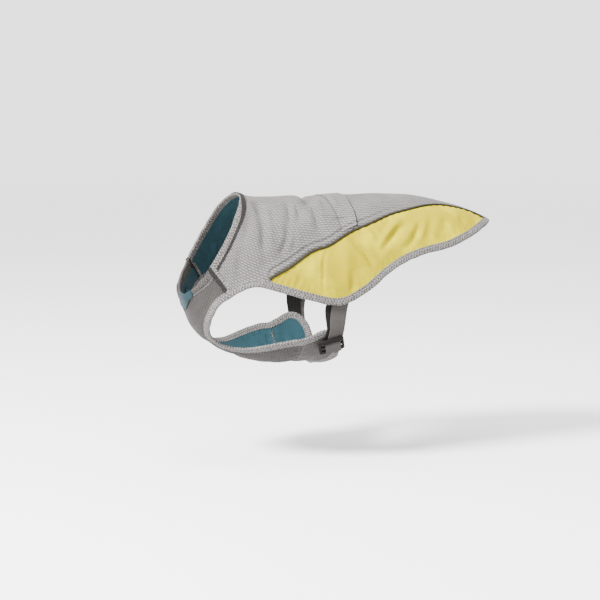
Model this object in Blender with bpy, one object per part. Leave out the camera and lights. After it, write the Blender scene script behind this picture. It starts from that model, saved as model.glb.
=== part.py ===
"""Reusable dog cooling vest in its worn form, hollow and open, with nothing inside it.

The cloth follows one smooth skin: a fan of rounded sections from the neck to the tail.
A place on the skin is (t, phi). t counts the sections, 0 at the neck and 10 at the tail.
phi is the angle in degrees round a section, 0 along the spine and 180 along the belly.
Positive phi is the left side, at -Y, and negative phi is the right side.
Each piece is a patch of that skin, so that neighbours keep an even gap at their seams.
Lengths in the tables are in millimetres, and MM turns them to metres.
"""
import math

import bmesh
import bpy
import numpy as np
from mathutils import Matrix, Vector

MM = 0.001

# Driving sizes of the cloth and trims
WALL = 2.0
GAP = 0.3
HEM_WIDTH = 9.0
NECK_TRIM_WIDTH = 8.0
TRIM_PROUD = 0.5
TRIM_CROWN = 0.4
TRIM_THICKNESS = 3.0
PIPING_RADIUS = 1.2
PIPING_DEPTH = 0.55
TAPE_WIDTH = 4.6
TAPE_HEIGHT = -0.2
TAPE_THICKNESS = 1.6
SHOULDER_TRIM_WIDTH = 4.0
LINING_THICKNESS = 1.0
BAND_THICKNESS = 1.0
LABEL_THICKNESS = 0.8
WEBBING_THICKNESS = 1.2
SLIDER_SIZE = (31.0, 20.0, 2.4)
SLIDER_CORNER = 2.5
SLIDER_SLOT = (25.0, 4.6)
SLOT_CORNER = 0.8
CORNER_SEGMENTS = 3
SLIDER_SLOT_CENTRE = 3.4
LOOP_WIDTH = 19.0

# Rounded sections of the skin from the neck to the tail. Each row holds a name, x and z on the
# spine, x and z on the belly, the half width, and how much narrower the top is.
SECTIONS = (
    ("neck", -30.0, 5.2, -100.0, -112.0, 60.0, 0.00),
    ("collar", -12.0, 1.0, -93.0, -137.0, 69.0, 0.03),
    ("shoulder", 10.0, 0.0, -80.0, -159.5, 78.0, 0.06),
    ("armpit", 38.0, 1.0, -52.0, -180.0, 84.0, 0.08),
    ("ribs", 72.0, 0.8, -5.0, -196.0, 88.0, 0.08),
    ("barrel", 110.0, 0.6, 55.0, -196.0, 89.0, 0.06),
    ("waist", 152.0, 0.8, 120.0, -184.0, 86.0, 0.04),
    ("loin", 195.0, -3.0, 185.0, -168.0, 81.0, 0.02),
    ("croup", 235.0, -12.5, 240.0, -155.0, 74.0, 0.00),
    ("rump", 268.0, -24.0, 290.0, -145.0, 62.0, 0.00),
    ("tail", 290.0, -37.0, 322.0, -135.0, 50.0, 0.00),
)
SECTION_TABLE = np.array([row[1:] for row in SECTIONS])
ROUNDNESS = 2.25
WITHERS_T = 1.6

# Largest folds. Each row holds a name, t and phi where the fold starts, t and phi where it
# ends, its height (a trough is negative) and its reach to either side.
FOLDS = (
    ("spine dip", 3.50, -15.0, 3.46, 15.0, -6.0, 7.5),
    ("dip left front", 3.28, 17.0, 3.04, 42.6, -2.0, 6.0),
    ("dip left rear", 3.44, 20.0, 3.80, 50.0, -2.2, 6.0),
    ("dip right front", 3.30, -18.0, 3.00, -46.0, -2.2, 6.0),
    ("dip right rear", 3.48, -22.0, 3.72, -44.0, -1.8, 6.0),
    ("shoulder left", 1.09, 27.4, 2.42, 81.8, -2.4, 8.0),
    ("shoulder right", 1.20, -34.0, 2.35, -76.0, -2.6, 9.0),
    ("ribs left", 2.59, 26.4, 2.83, 71.3, -1.6, 6.5),
    ("ribs right", 2.70, -22.0, 2.90, -62.0, -1.8, 6.5),
    ("flank left", 4.95, 60.0, 5.40, 82.0, -1.4, 9.0),
    ("flank right", 5.20, -58.0, 5.45, -84.0, -1.5, 9.0),
    ("chest top", 0.73, 120.9, 0.62, 156.0, -1.2, 7.0),
    ("chest top right", 0.90, -116.0, 0.66, -150.0, -1.3, 7.0),
    ("belly seam", 4.55, 140.0, 4.60, 220.0, -1.2, 6.0),
    ("belly lip left", 5.32, 152.0, 5.12, 180.0, 4.5, 9.0),
    ("belly lip right", 5.12, 184.0, 5.32, 208.0, 4.5, 9.0),
)
FOLD_SAMPLES = 40
FINE_STEPS = 24
SHARP_ANGLE = math.radians(50)

# Bound edge of the cloth, from the belly round the leg opening and the hem to the tail.
# Each row holds the section of the edge that it starts or lies in, t and phi.
EDGE = (
    ("belly", 5.12, 180.0),
    ("belly", 5.22, 168.0),
    ("belly", 5.31, 155.0),
    ("belly", 5.31, 142.0),
    ("belly", 5.22, 130.5),
    ("ear", 5.03, 122.3),
    ("ear", 4.84, 119.6),
    ("ear", 4.64, 120.9),
    ("ear", 4.50, 124.7),
    ("leg", 4.36, 127.1),
    ("leg", 4.10, 128.8),
    ("leg", 3.76, 135.0),
    ("leg", 3.45, 144.2),
    ("leg", 3.16, 153.4),
    ("leg", 2.78, 160.6),
    ("leg", 2.38, 161.0),
    ("leg", 2.00, 152.0),
    ("leg", 1.72, 138.5),
    ("leg", 1.60, 126.8),
    ("leg", 1.65, 119.2),
    ("arm", 1.79, 112.9),
    ("arm", 2.03, 104.6),
    ("arm", 2.29, 98.8),
    ("arm", 2.58, 96.1),
    ("foot", 2.88, 95.4),
    ("side", 3.12, 95.4),
    ("side", 3.58, 95.7),
    ("side", 4.12, 97.4),
    ("side", 4.65, 100.5),
    ("side", 4.88, 101.2),
    ("side", 5.10, 100.2),
    ("side", 5.50, 94.5),
    ("side", 5.90, 87.0),
    ("side", 6.35, 80.7),
    ("side", 6.85, 77.0),
    ("side", 7.40, 73.5),
    ("side", 8.05, 63.0),
    ("side", 8.50, 52.5),
    ("side", 8.92, 40.5),
    ("tail", 9.20, 31.5),
    ("tail", 9.52, 18.0),
    ("tail", 9.72, 0.0),
)
EDGE_STEPS = {"belly": 10, "ear": 4, "leg": 20, "arm": 5, "foot": 1, "side": 28, "tail": 6}

# Piping between the back panel and a side panel, from the leg opening to the tail, as t and phi
PIPING = (
    (2.97, 87.3),
    (3.28, 81.5),
    (3.70, 70.5),
    (3.95, 67.0),
    (4.23, 64.3),
    (4.73, 54.6),
    (5.28, 48.0),
    (5.83, 40.7),
    (6.43, 34.3),
    (7.08, 26.0),
    (7.60, 20.6),
    (8.15, 18.0),
    (8.55, 18.3),
    (8.80, 20.8),
    (8.94, 23.4),
)

# Shoulder closure, neck edge, top of the chest panel and belly seam, as t and phi
SHOULDER = ((0.40, 109.5), (0.66, 109.2), (1.02, 109.0), (1.40, 109.8))
SHOULDER_STEPS = 4
NECK_BACK = ((0.0, 109.9), (-0.04, 78.0), (-0.12, 52.0), (-0.08, 28.0), (0.0, 0.0))
NECK_FRONT = ((0.0, 110.2), (0.04, 118.4), (0.0, 135.0), (0.0, 158.0), (0.0, 180.0))
CHEST_TOP = ((0.59, 112.4), (0.56, 119.6), (0.45, 129.8), (0.36, 143.8), (0.33, 162.4), (0.32, 180.0))
BELLY_SEAM = ((4.44, 133.4), (4.52, 146.0), (4.58, 160.0), (4.60, 180.0))

# How the panels' rows and columns are spread. Pairs hold a row's number and its t.
BACK_COLUMNS = (0.0, 0.10, 0.20, 0.30, 0.40, 0.50, 0.60, 0.70, 0.80, 0.88, 0.95, 1.0)
SPINE_ROWS = ((0, 0.42), (4, 1.25), (9, 2.30), (15, 3.22), (20, 3.93), (22, 4.62), (41, 9.32))
BAND_ROWS = (20, 22)
TOP_COLUMNS = 7
SHOULDER_COLUMNS_USED = 3
CHEST_COLUMNS = TOP_COLUMNS + SHOULDER_COLUMNS_USED
CHEST_CENTRE_ROWS = ((0, 0.34), (4, 0.98), (8, 1.95), (12, 2.80), (20, 4.58))
BELLY_CENTRE_ROWS = ((0, 4.60), (4, 4.95))
CHEST_TOP_FADE = 6.0
LINING_ROWS = (2, 19)
LABEL_HALF_COLUMNS = 2
LABEL_ROWS = 3
SIDE_COLUMNS = 6
SIDES = (("left", 1.0), ("right", -1.0))

# Webbing straps from the hem to the sliders. Each row holds t and phi of the front edge, t and
# phi of the rear edge, and the height of the outer face.
STRAP = (
    (4.72, 90.0, 5.09, 90.0, -3.0),
    (4.72, 97.0, 5.10, 97.0, -3.0),
    (4.73, 103.0, 5.11, 103.0, -2.9),
    (4.76, 108.0, 5.12, 108.0, -1.2),
    (4.79, 113.0, 5.13, 113.0, 1.6),
    (4.83, 118.0, 5.14, 117.5, 3.8),
    (4.86, 124.0, 5.16, 122.0, 4.3),
    (4.89, 129.0, 5.18, 126.3, 4.3),
)
UNDER_STRAP = (
    (4.60, 90.0, 4.97, 90.0, -4.5),
    (4.60, 97.0, 4.98, 97.0, -4.5),
    (4.60, 103.0, 4.98, 103.0, -4.4),
    (4.65, 108.0, 5.00, 108.0, -2.7),
    (4.71, 113.0, 5.02, 113.0, 0.1),
    (4.77, 118.0, 5.05, 117.5, 2.4),
    (4.80, 124.0, 5.08, 122.0, 2.8),
    (4.82, 131.0, 5.10, 128.2, 2.8),
)
STRAP_COLUMNS_ACROSS = 3

# Slider: its middle, the two ends that give its tilt, and the height of its middle.
# The loop's path runs from behind the slider over its bar, as lengths along and out.
SLIDER_MIDDLE = (4.99, 131.3)
SLIDER_ENDS = ((4.75, 133.5), (5.23, 129.0))
SLIDER_HEIGHT = 5.9
LOOP_SHIFT = 1.5
LOOP_PATH = (
    (-3.9, -0.6),
    (-3.6, 1.3),
    (-2.2, 2.4),
    (2.2, 2.4),
    (6.2, 2.3),
    (10.2, 2.2),
    (11.6, 1.2),
    (12.4, -1.2),
    (13.4, -3.4),
    (15.4, -4.9),
)

# Finishes: base colour, roughness, metallic
FINISHES = {
    "mesh_knit": ((0.50, 0.49, 0.475), 0.85, 0.0),
    "ripstop": ((0.90, 0.80, 0.14), 0.55, 0.0),
    "binding": ((0.36, 0.355, 0.345), 0.80, 0.0),
    "piping": ((0.055, 0.045, 0.035), 0.75, 0.0),
    "hook_tape": ((0.085, 0.080, 0.075), 0.90, 0.0),
    "chest_knit": ((0.26, 0.245, 0.235), 0.85, 0.0),
    "lining": ((0.12, 0.28, 0.33), 0.70, 0.0),
    "webbing": ((0.245, 0.23, 0.22), 0.75, 0.0),
    "dark_webbing": ((0.02, 0.018, 0.017), 0.85, 0.0),
    "slider_plastic": ((0.035, 0.022, 0.018), 0.45, 0.0),
    "label": ((0.11, 0.29, 0.35), 0.60, 0.0),
}


def clear_scene():
    """Removes every object of the scene."""
    for item in list(bpy.data.objects):
        bpy.data.objects.remove(item, do_unlink=True)


def make_materials():
    """One Principled material for each finish, by name."""
    materials = {}
    for name, (colour, roughness, metallic) in FINISHES.items():
        material = bpy.data.materials.new(name)
        material.use_nodes = True
        shader = material.node_tree.nodes["Principled BSDF"]
        shader.inputs["Base Color"].default_value = (*colour, 1.0)
        shader.inputs["Roughness"].default_value = roughness
        shader.inputs["Metallic"].default_value = metallic
        material.diffuse_color = (*colour, 1.0)
        materials[name] = material
    return materials


def through(table, places):
    """Smooth curve through a table's rows at fractional row numbers."""
    table = np.asarray(table, float)
    places = np.asarray(places, float)
    last = len(table) - 1
    slopes = np.gradient(table, axis=0)
    inside = np.clip(places, 0.0, last)
    low = np.minimum(inside.astype(int), last - 1)
    f = (inside - low)[..., None]
    start, end = table[low], table[low + 1]
    curve = (
        start * (1 - 3 * f**2 + 2 * f**3)
        + end * (3 * f**2 - 2 * f**3)
        + slopes[low] * (f - 2 * f**2 + f**3)
        + slopes[low + 1] * (f**3 - f**2)
    )
    beyond = (places - inside)[..., None]
    return curve + beyond * np.where(beyond > 0, slopes[-1], slopes[0])


def rounded(value):
    """Squares a cosine or sine a little, which fills out a section's shoulders."""
    return np.sign(value) * np.abs(value) ** (2 / ROUNDNESS)


def skin(t, phi):
    """Points of the smooth skin, the outer face of the cloth before its folds."""
    t, phi = np.broadcast_arrays(np.asarray(t, float), np.asarray(phi, float))
    top_x, top_z, bottom_x, bottom_z, half_width, egg = np.moveaxis(through(SECTION_TABLE, t), -1, 0)
    up = rounded(np.cos(np.radians(phi)))
    out = rounded(np.sin(np.radians(phi)))
    x = (top_x + bottom_x) / 2 + (top_x - bottom_x) / 2 * up
    z = (top_z + bottom_z) / 2 + (top_z - bottom_z) / 2 * up
    return np.stack([x, -half_width * out * (1 - egg * up), z], -1)


def unit(vectors):
    """The vectors at length 1."""
    return vectors / np.linalg.norm(vectors, axis=-1, keepdims=True)


def skin_slopes(t, phi, dt=0.02, dphi=0.5):
    """How the skin's points move for a unit of t and for a degree of phi."""
    along = (skin(t + dt, phi) - skin(t - dt, phi)) / (2 * dt)
    around = (skin(t, phi + dphi) - skin(t, phi - dphi)) / (2 * dphi)
    return along, around


def outward(t, phi):
    """Unit normals of the skin, pointing out."""
    along, around = skin_slopes(t, phi)
    return unit(np.cross(around, along))


def fold_heights(points):
    """How far the folds move points of the skin along its normals."""
    total = np.zeros(points.shape[:-1])
    for _, t_start, phi_start, t_end, phi_end, height, reach in FOLDS:
        share = np.linspace(0, 1, FOLD_SAMPLES)
        line = skin(t_start + (t_end - t_start) * share, phi_start + (phi_end - phi_start) * share)
        away = np.linalg.norm(points[..., None, :] - line, axis=-1).min(axis=-1)
        total += height * np.exp(-((away / reach) ** 2))
    return total


def lifted(t, phi, height):
    """Points at a height over the folded skin, in millimetres."""
    base = skin(t, phi)
    return base + outward(t, phi) * (height + fold_heights(base))[..., None]


ORIGIN = lifted(np.array([WITHERS_T]), np.array([0.0]), -WALL)[0]


def place(t, phi, height):
    """Points at a height over the folded skin, in metres from the origin at the withers."""
    return (lifted(t, phi, height) - ORIGIN) * MM


def travelled(line):
    """Distance along a line on the skin at each of its points."""
    points = skin(line[:, 0], line[:, 1])
    steps = np.linalg.norm(np.diff(points, axis=0), axis=1)
    return np.concatenate([[0.0], np.cumsum(steps)])


def resample(line, steps):
    """The line again, with evenly spaced points."""
    distance = travelled(line)
    wanted = np.linspace(0, distance[-1], steps + 1)
    return np.stack([np.interp(wanted, distance, line[:, k]) for k in range(2)], -1)


def smooth_line(table, steps):
    """A smooth line through a table of (t, phi) rows, in evenly spaced points."""
    table = np.asarray(table, float)
    places = np.linspace(0, len(table) - 1, FINE_STEPS * (len(table) - 1) + 1)
    return resample(through(table, places), steps)


def mirrored(line):
    """The line on the other side, through angles above 180 where it runs on the belly."""
    other = line.copy()
    other[..., 1] = -line[..., 1]
    return other


def shifted(line, distance, rounds=4):
    """The line moved sideways over the skin, to the side of normal cross direction."""
    line = np.array(line, float)
    points = skin(line[:, 0], line[:, 1])
    heading = unit(np.gradient(points, axis=0))
    for _ in range(rounds):
        along, around = skin_slopes(line[:, 0], line[:, 1])
        normal = unit(np.cross(around, along))
        move = unit(np.cross(normal, heading)) * distance / rounds
        aa, ab, bb = (along * along).sum(1), (along * around).sum(1), (around * around).sum(1)
        am, bm = (along * move).sum(1), (around * move).sum(1)
        size = aa * bb - ab * ab
        line[:, 0] += (bb * am - ab * bm) / size
        line[:, 1] += (aa * bm - ab * am) / size
    return line


def trimmed(line, start=0.0, end=0.0):
    """The line with its first and last points moved inwards along it, in millimetres."""
    line = np.array(line, float)
    distance = travelled(line)
    ends = np.array([start, distance[-1] - end])
    moved = np.stack([np.interp(ends, distance, line[:, k]) for k in range(2)], -1)
    line[0], line[-1] = moved
    return line


def nearest(line, point):
    """Distance along a line to its place nearest to a point, both on the skin."""
    fine = resample(line, FINE_STEPS * len(line))
    away = np.linalg.norm(skin(fine[:, 0], fine[:, 1]) - skin(point[0], point[1]), axis=1)
    return travelled(fine)[away.argmin()]


def at_columns(line, columns):
    """Points of a line at shares of its length."""
    distance = travelled(line)
    wanted = np.asarray(columns) * distance[-1]
    return np.stack([np.interp(wanted, distance, line[:, k]) for k in range(2)], -1)


def whole(line, turn=0.0):
    """A line that ends on the middle plane, carried on over the right side."""
    other = mirrored(line)[::-1]
    other[:, 1] += turn
    return np.concatenate([line, other[1:]])


def joined(*lines):
    """Lines that meet, as one line without double points."""
    return np.concatenate([line if k == 0 else line[1:] for k, line in enumerate(lines)])


def spread(anchors, count):
    """Values at whole row numbers, read between anchor rows."""
    rows, values = zip(*anchors)
    return np.interp(np.arange(count), rows, values)


def middle_line(anchors, count, phi):
    """Points of the middle plane, one for each row."""
    return np.stack([spread(anchors, count), np.full(count, phi)], -1)


def patch(middle, side, first, last, columns, fade=1.0):
    """A net of (t, phi) between a middle line, a side line and two end lines.

    columns runs from 0 at the middle line to 1 at the side line, and the end lines hold one
    point for each column. A larger fade makes the first line's shape die away sooner.
    """
    u = np.linspace(0, 1, len(side))[:, None, None]
    v = np.asarray(columns)[None, :, None]
    ruled = (1 - v) * middle[:, None] + v * side[:, None]
    start = first[None] - ((1 - v) * middle[0] + v * side[0])
    end = last[None] - ((1 - v) * middle[-1] + v * side[-1])
    return ruled + (1 - u) ** fade * start + u * end


def both_sides(net, turn=0.0):
    """A net that runs from the middle to the left, made whole with its mirror image."""
    other = mirrored(net)
    other[..., 1] += turn
    return np.concatenate([net[:, ::-1], other[:, 1:]], axis=1)


def edge_lines():
    """The bound edge by section, as it runs from the belly to the tail on the left side."""
    names = [row[0] for row in EDGE]
    table = np.array([row[1:] for row in EDGE])
    before = np.array([[table[1, 0], 360.0 - table[1, 1]]])
    beyond = np.array([[table[-2, 0], -table[-2, 1]]])
    smooth = np.concatenate([before, table, beyond])
    lines = {}
    for name, steps in EDGE_STEPS.items():
        first = names.index(name)
        end = min(first + names.count(name), len(names) - 1)
        places = np.linspace(first + 1, end + 1, FINE_STEPS * (end - first) + 1)
        lines[name] = resample(through(smooth, places), steps)
    return lines


class Vest:
    """Builds the vest's pieces, each a named solid with its own finish."""

    def __init__(self):
        self.materials = make_materials()
        self.collection = bpy.data.collections.new("dog_cooling_vest")
        bpy.context.scene.collection.children.link(self.collection)
        self.tools = bpy.data.collections.new("cutters")
        bpy.context.scene.collection.children.link(self.tools)
        self.edge = edge_lines()
        self.piping = smooth_line(PIPING, EDGE_STEPS["side"] + 2)
        self.shoulder = smooth_line(SHOULDER, SHOULDER_STEPS)
        self.neck = at_columns(smooth_line(NECK_BACK, len(NECK_BACK) * FINE_STEPS)[::-1], BACK_COLUMNS)
        self.neck = whole(self.neck[::-1])
        self.front = whole(smooth_line(NECK_FRONT, TOP_COLUMNS), 360.0)
        self.front_inner = whole(smooth_line(CHEST_TOP, TOP_COLUMNS), 360.0)

    def add(self, name, data, finish):
        """Links a named object with its finish."""
        item = bpy.data.objects.new(name, data)
        data.materials.append(self.materials[finish])
        self.collection.objects.link(item)
        return item

    def cloth(self, name, net, finish, outer=0.0, thickness=WALL):
        """A wall on a net of (t, phi): a grid on the outer face, extruded to the inner one.

        outer is the height of the outer face, one value or one for each point of the net.
        """
        rows, columns = net.shape[:2]
        heights = np.broadcast_to(np.asarray(outer, float), (rows, columns))
        front = place(net[..., 0], net[..., 1], heights)
        back = place(net[..., 0], net[..., 1], heights - thickness)
        mesh = bmesh.new()
        number = mesh.verts.layers.int.new("number")
        bmesh.ops.create_grid(mesh, x_segments=columns - 1, y_segments=rows - 1, size=1.0)
        for vertex in mesh.verts:
            column = round((vertex.co.x + 1) / 2 * (columns - 1))
            row = round((vertex.co.y + 1) / 2 * (rows - 1))
            vertex[number] = row * columns + column
        grown = bmesh.ops.extrude_face_region(mesh, geom=mesh.faces[:], use_keep_orig=True)
        inner = {item for item in grown["geom"] if isinstance(item, bmesh.types.BMVert)}
        for vertex in mesh.verts:
            row, column = divmod(vertex[number], columns)
            vertex.co = (back if vertex in inner else front)[row, column]
        if mesh.calc_volume(signed=True) < 0:
            bmesh.ops.reverse_faces(mesh, faces=mesh.faces[:])
        data = bpy.data.meshes.new(name)
        mesh.to_mesh(data)
        mesh.free()
        data.shade_smooth()
        data.set_sharp_from_angle(angle=SHARP_ANGLE)
        return self.add(name, data, finish)

    def strip(self, name, first, second, finish, outer=0.0, crown=0.0, thickness=WALL):
        """A narrow cloth between two lines, crowned along its middle."""
        net = np.stack([first, (first + second) / 2, second], axis=1)
        heights = np.array([outer, outer + crown, outer])[None]
        return self.cloth(name, net, finish, heights, thickness)

    def cord(self, name, line, radius, height, finish):
        """A round cord along a line on the skin."""
        data = bpy.data.curves.new(name, "CURVE")
        data.dimensions = "3D"
        data.bevel_depth = radius * MM
        data.bevel_resolution = 1
        data.use_fill_caps = True
        spline = data.splines.new("POLY")
        points = place(line[:, 0], line[:, 1], np.full(len(line), height))
        spline.points.add(len(points) - 1)
        for target, point in zip(spline.points, points):
            target.co = (*point, 1.0)
        return self.add(name, data, finish)

    def build_back(self):
        """Back panel, the band across it, the side panels and the piping between them."""
        edge, piping = self.edge, self.piping
        seam = TAPE_WIDTH / 2 + GAP + SHOULDER_TRIM_WIDTH + GAP
        inset = HEM_WIDTH + GAP
        around = whole(joined(edge["arm"], edge["foot"], edge["side"], edge["tail"]))
        hem = shifted(around, inset)[: (len(around) + 1) // 2]
        arm_end = EDGE_STEPS["arm"] + 1
        tail = hem[-EDGE_STEPS["tail"] :]
        shoulder = shifted(self.shoulder, seam)
        arm = trimmed(hem, start=nearest(hem[:arm_end], shoulder[-1]))[:arm_end]
        side = np.concatenate([shoulder[:-1], arm, shifted(piping, PIPING_RADIUS + GAP), tail[:1]])
        spine = middle_line(SPINE_ROWS, len(side), 0.0)
        first = shifted(self.neck, -(NECK_TRIM_WIDTH + GAP))[: len(BACK_COLUMNS)][::-1]
        first[-1] = side[0]
        last = at_columns(tail[::-1], BACK_COLUMNS)
        spine[0], spine[-1] = first[0], last[0]
        net = both_sides(patch(spine, side, first, last, BACK_COLUMNS))
        self.cloth("back_panel", net, "mesh_knit")
        band = net[BAND_ROWS[0] : BAND_ROWS[1] + 1, 1:-1]
        self.cloth("back_band", band, "mesh_knit", GAP + BAND_THICKNESS, BAND_THICKNESS)
        below = hem[arm_end : arm_end + EDGE_STEPS["side"] + 1]
        above = shifted(piping, -(PIPING_RADIUS + GAP))[1:-1]
        share = np.linspace(0, 1, SIDE_COLUMNS + 1)[None, :, None]
        leaf = above[:, None] * (1 - share) + below[:, None] * share
        for ending, sign in SIDES:
            self.cloth(f"side_panel_{ending}", on_side(leaf, sign), "ripstop")
            self.cord(f"piping_{ending}", on_side(piping, sign), PIPING_RADIUS, -PIPING_DEPTH, "piping")

    def build_trims(self):
        """Bindings of the hem, the chest piece and the neck, and the shoulder closures."""
        edge = self.edge
        hem = trimmed(joined(edge["arm"], edge["foot"], edge["side"], edge["tail"]), start=GAP / 2)
        chest = trimmed(joined(edge["belly"], edge["ear"], edge["leg"]), end=GAP / 2)
        bound = {
            "hem_binding": (whole(hem), HEM_WIDTH),
            "chest_binding": (whole(chest[::-1], 360.0), -HEM_WIDTH),
            "neck_binding_back": (self.neck, -NECK_TRIM_WIDTH),
        }
        for name, (outer_line, width) in bound.items():
            inner_line = shifted(outer_line, width)
            self.strip(name, outer_line, inner_line, "binding", TRIM_PROUD, TRIM_CROWN, TRIM_THICKNESS)
        self.strip(
            "neck_binding_front", self.front, self.front_inner, "binding",
            TRIM_PROUD, TRIM_CROWN, TRIM_THICKNESS,
        )
        tape_edge = TAPE_WIDTH / 2
        trim_edge = tape_edge + GAP
        for ending, sign in SIDES:
            tape = [on_side(shifted(self.shoulder, k * tape_edge), sign) for k in (-1, 1)]
            trim = [
                on_side(shifted(self.shoulder, distance), sign)
                for distance in (trim_edge, trim_edge + SHOULDER_TRIM_WIDTH)
            ]
            self.strip(f"shoulder_tape_{ending}", *tape, "hook_tape", TAPE_HEIGHT, 0.0, TAPE_THICKNESS)
            self.strip(f"shoulder_binding_{ending}", *trim, "binding", TRIM_PROUD, TRIM_CROWN, TRIM_THICKNESS)

    def build_chest(self):
        """Chest and belly panels, the lining behind them and the label at the neck."""
        edge = self.edge
        shares = np.linspace(0, 1, CHEST_COLUMNS + 1)
        round_chest = whole(joined(edge["belly"], edge["ear"], edge["leg"])[::-1], 360.0)
        inside = shifted(round_chest, -(HEM_WIDTH + GAP))[: (len(round_chest) + 1) // 2]
        leg_end = EDGE_STEPS["leg"]
        ear_end = leg_end + EDGE_STEPS["ear"]
        corner = TAPE_WIDTH / 2 + GAP
        shoulder = shifted(self.shoulder, -corner)
        leg = trimmed(inside, start=nearest(inside[:leg_end], shoulder[-1]))[: leg_end + 1]
        top = shifted(self.front_inner, GAP)[: TOP_COLUMNS + 1][::-1]
        first = np.concatenate([top, shoulder[-SHOULDER_COLUMNS_USED:-1], leg[:1]])
        seam = whole(smooth_line(BELLY_SEAM, CHEST_COLUMNS), 360.0)
        last = shifted(seam, -GAP / 2)[: CHEST_COLUMNS + 1][::-1]
        leg[-1] = last[-1]
        middle = middle_line(CHEST_CENTRE_ROWS, len(leg), 180.0)
        middle[0], middle[-1] = first[0], last[0]
        half = patch(middle, leg, first, last, shares, CHEST_TOP_FADE)
        net = both_sides(half, 360.0)
        self.cloth("chest_panel", net, "chest_knit")
        inner = net[LINING_ROWS[0] : LINING_ROWS[1] + 1, 1:-1]
        self.cloth("chest_lining", inner, "lining", -(WALL + GAP), LINING_THICKNESS)
        self.build_label(net)
        belly_first = shifted(seam, GAP / 2)[: CHEST_COLUMNS + 1][::-1]
        belly_side = inside[leg_end : ear_end + 1].copy()
        belly_side[0] = belly_first[-1]
        belly_last = inside[ear_end:][::-1]
        belly_middle = middle_line(BELLY_CENTRE_ROWS, len(belly_side), 180.0)
        belly_middle[0], belly_middle[-1] = belly_first[0], belly_last[0]
        belly = patch(belly_middle, belly_side, belly_first, belly_last, shares)
        self.cloth("belly_panel", both_sides(belly, 360.0), "chest_knit")

    def build_label(self, chest):
        """A blank label over the front of the neck binding and the top of the chest panel."""
        trim = [self.front, (self.front + self.front_inner) / 2, self.front_inner]
        reach = np.arange(-LABEL_HALF_COLUMNS, LABEL_HALF_COLUMNS + 1)
        upper = np.stack(trim)[:, TOP_COLUMNS + reach]
        net = np.concatenate([upper, chest[: LABEL_ROWS + 1, CHEST_COLUMNS + reach]])
        over = TRIM_PROUD + GAP + LABEL_THICKNESS
        flat = GAP + LABEL_THICKNESS
        heights = np.array([over, over + TRIM_CROWN, over] + [flat] * (LABEL_ROWS + 1))[:, None]
        self.cloth("front_label", net, "label", heights, LABEL_THICKNESS)

    def build_straps(self):
        """Webbing straps, the dark webbing under them, the sliders and their loops."""
        for ending, sign in SIDES:
            self.strap(f"strap_{ending}", STRAP, sign, "webbing")
            self.strap(f"strap_under_{ending}", UNDER_STRAP, sign, "dark_webbing")
            middle, axes = slider_place(sign)
            self.slider(f"slider_{ending}", middle, axes)
            rearward = axes[0] * (-sign)
            self.loop(f"slider_loop_{ending}", middle + rearward * LOOP_SHIFT * MM, axes)

    def strap(self, name, table, sign, finish):
        """A flat webbing strap between its front and rear edges."""
        table = np.array(table)
        share = np.linspace(0, 1, STRAP_COLUMNS_ACROSS)[None, :, None]
        net = table[:, None, 0:2] * (1 - share) + table[:, None, 2:4] * share
        net[..., 1] *= sign
        self.cloth(name, net, finish, table[:, 4:5], WEBBING_THICKNESS)

    def slider(self, name, middle, axes):
        """A flat slider with two slots and a bar between them."""
        data = block(name, SLIDER_SIZE, SLIDER_CORNER)
        item = self.add(name, data, "slider_plastic")
        item.matrix_world = frame_matrix(middle, axes)
        for k in (-1, 1):
            cutter = bpy.data.objects.new(
                f"{name}_slot_{k + 2}", block("slot", (*SLIDER_SLOT, SLIDER_SIZE[2] * 3), SLOT_CORNER)
            )
            self.tools.objects.link(cutter)
            cutter.matrix_world = frame_matrix(middle + axes[1] * k * SLIDER_SLOT_CENTRE * MM, axes)
            cutter.hide_render = True
            cutter.display_type = "WIRE"
            cut = item.modifiers.new("slot", "BOOLEAN")
            cut.operation = "DIFFERENCE"
            cut.solver = "EXACT"
            cut.object = cutter

    def loop(self, name, middle, axes):
        """A short webbing loop over the slider's middle bar and down to the belly panel."""
        path = np.array(LOOP_PATH)
        heading = unit(np.gradient(path, axis=0))
        sideways = np.stack([-heading[:, 1], heading[:, 0]], -1) * WEBBING_THICKNESS / 2
        outline = np.concatenate([path + sideways, (path - sideways)[::-1]]) * MM
        data = bpy.data.curves.new(name, "CURVE")
        data.dimensions = "2D"
        data.fill_mode = "BOTH"
        data.extrude = LOOP_WIDTH / 2 * MM
        spline = data.splines.new("POLY")
        spline.points.add(len(outline) - 1)
        for target, point in zip(spline.points, outline):
            target.co = (*point, 0.0, 1.0)
        spline.use_cyclic_u = True
        item = self.add(name, data, "webbing")
        item.matrix_world = frame_matrix(middle, (axes[1], axes[2], axes[0]))


def on_side(line, sign):
    """A line or net of the left side, or its mirror image."""
    return line if sign > 0 else mirrored(line)


def slider_place(sign):
    """Middle of a slider and its axes: forward on the left side, downwards and outwards."""
    t, phi = SLIDER_MIDDLE
    middle = place(np.array([t]), np.array([phi * sign]), np.array([SLIDER_HEIGHT]))[0]
    out = outward(np.array([t]), np.array([phi * sign]))[0]
    ends = [skin(end_t, end_phi * sign) for end_t, end_phi in SLIDER_ENDS]
    rearward = ends[1] - ends[0]
    down = unit(np.cross(rearward, out) * sign)
    return middle, (np.cross(down, out), down, out)


def frame_matrix(middle, axes):
    """World matrix with the given origin and three unit axes."""
    matrix = Matrix.Identity(4)
    for k, axis in enumerate(axes):
        matrix.col[k] = (*axis, 0.0)
    matrix.col[3] = (*middle, 1.0)
    return matrix


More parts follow.
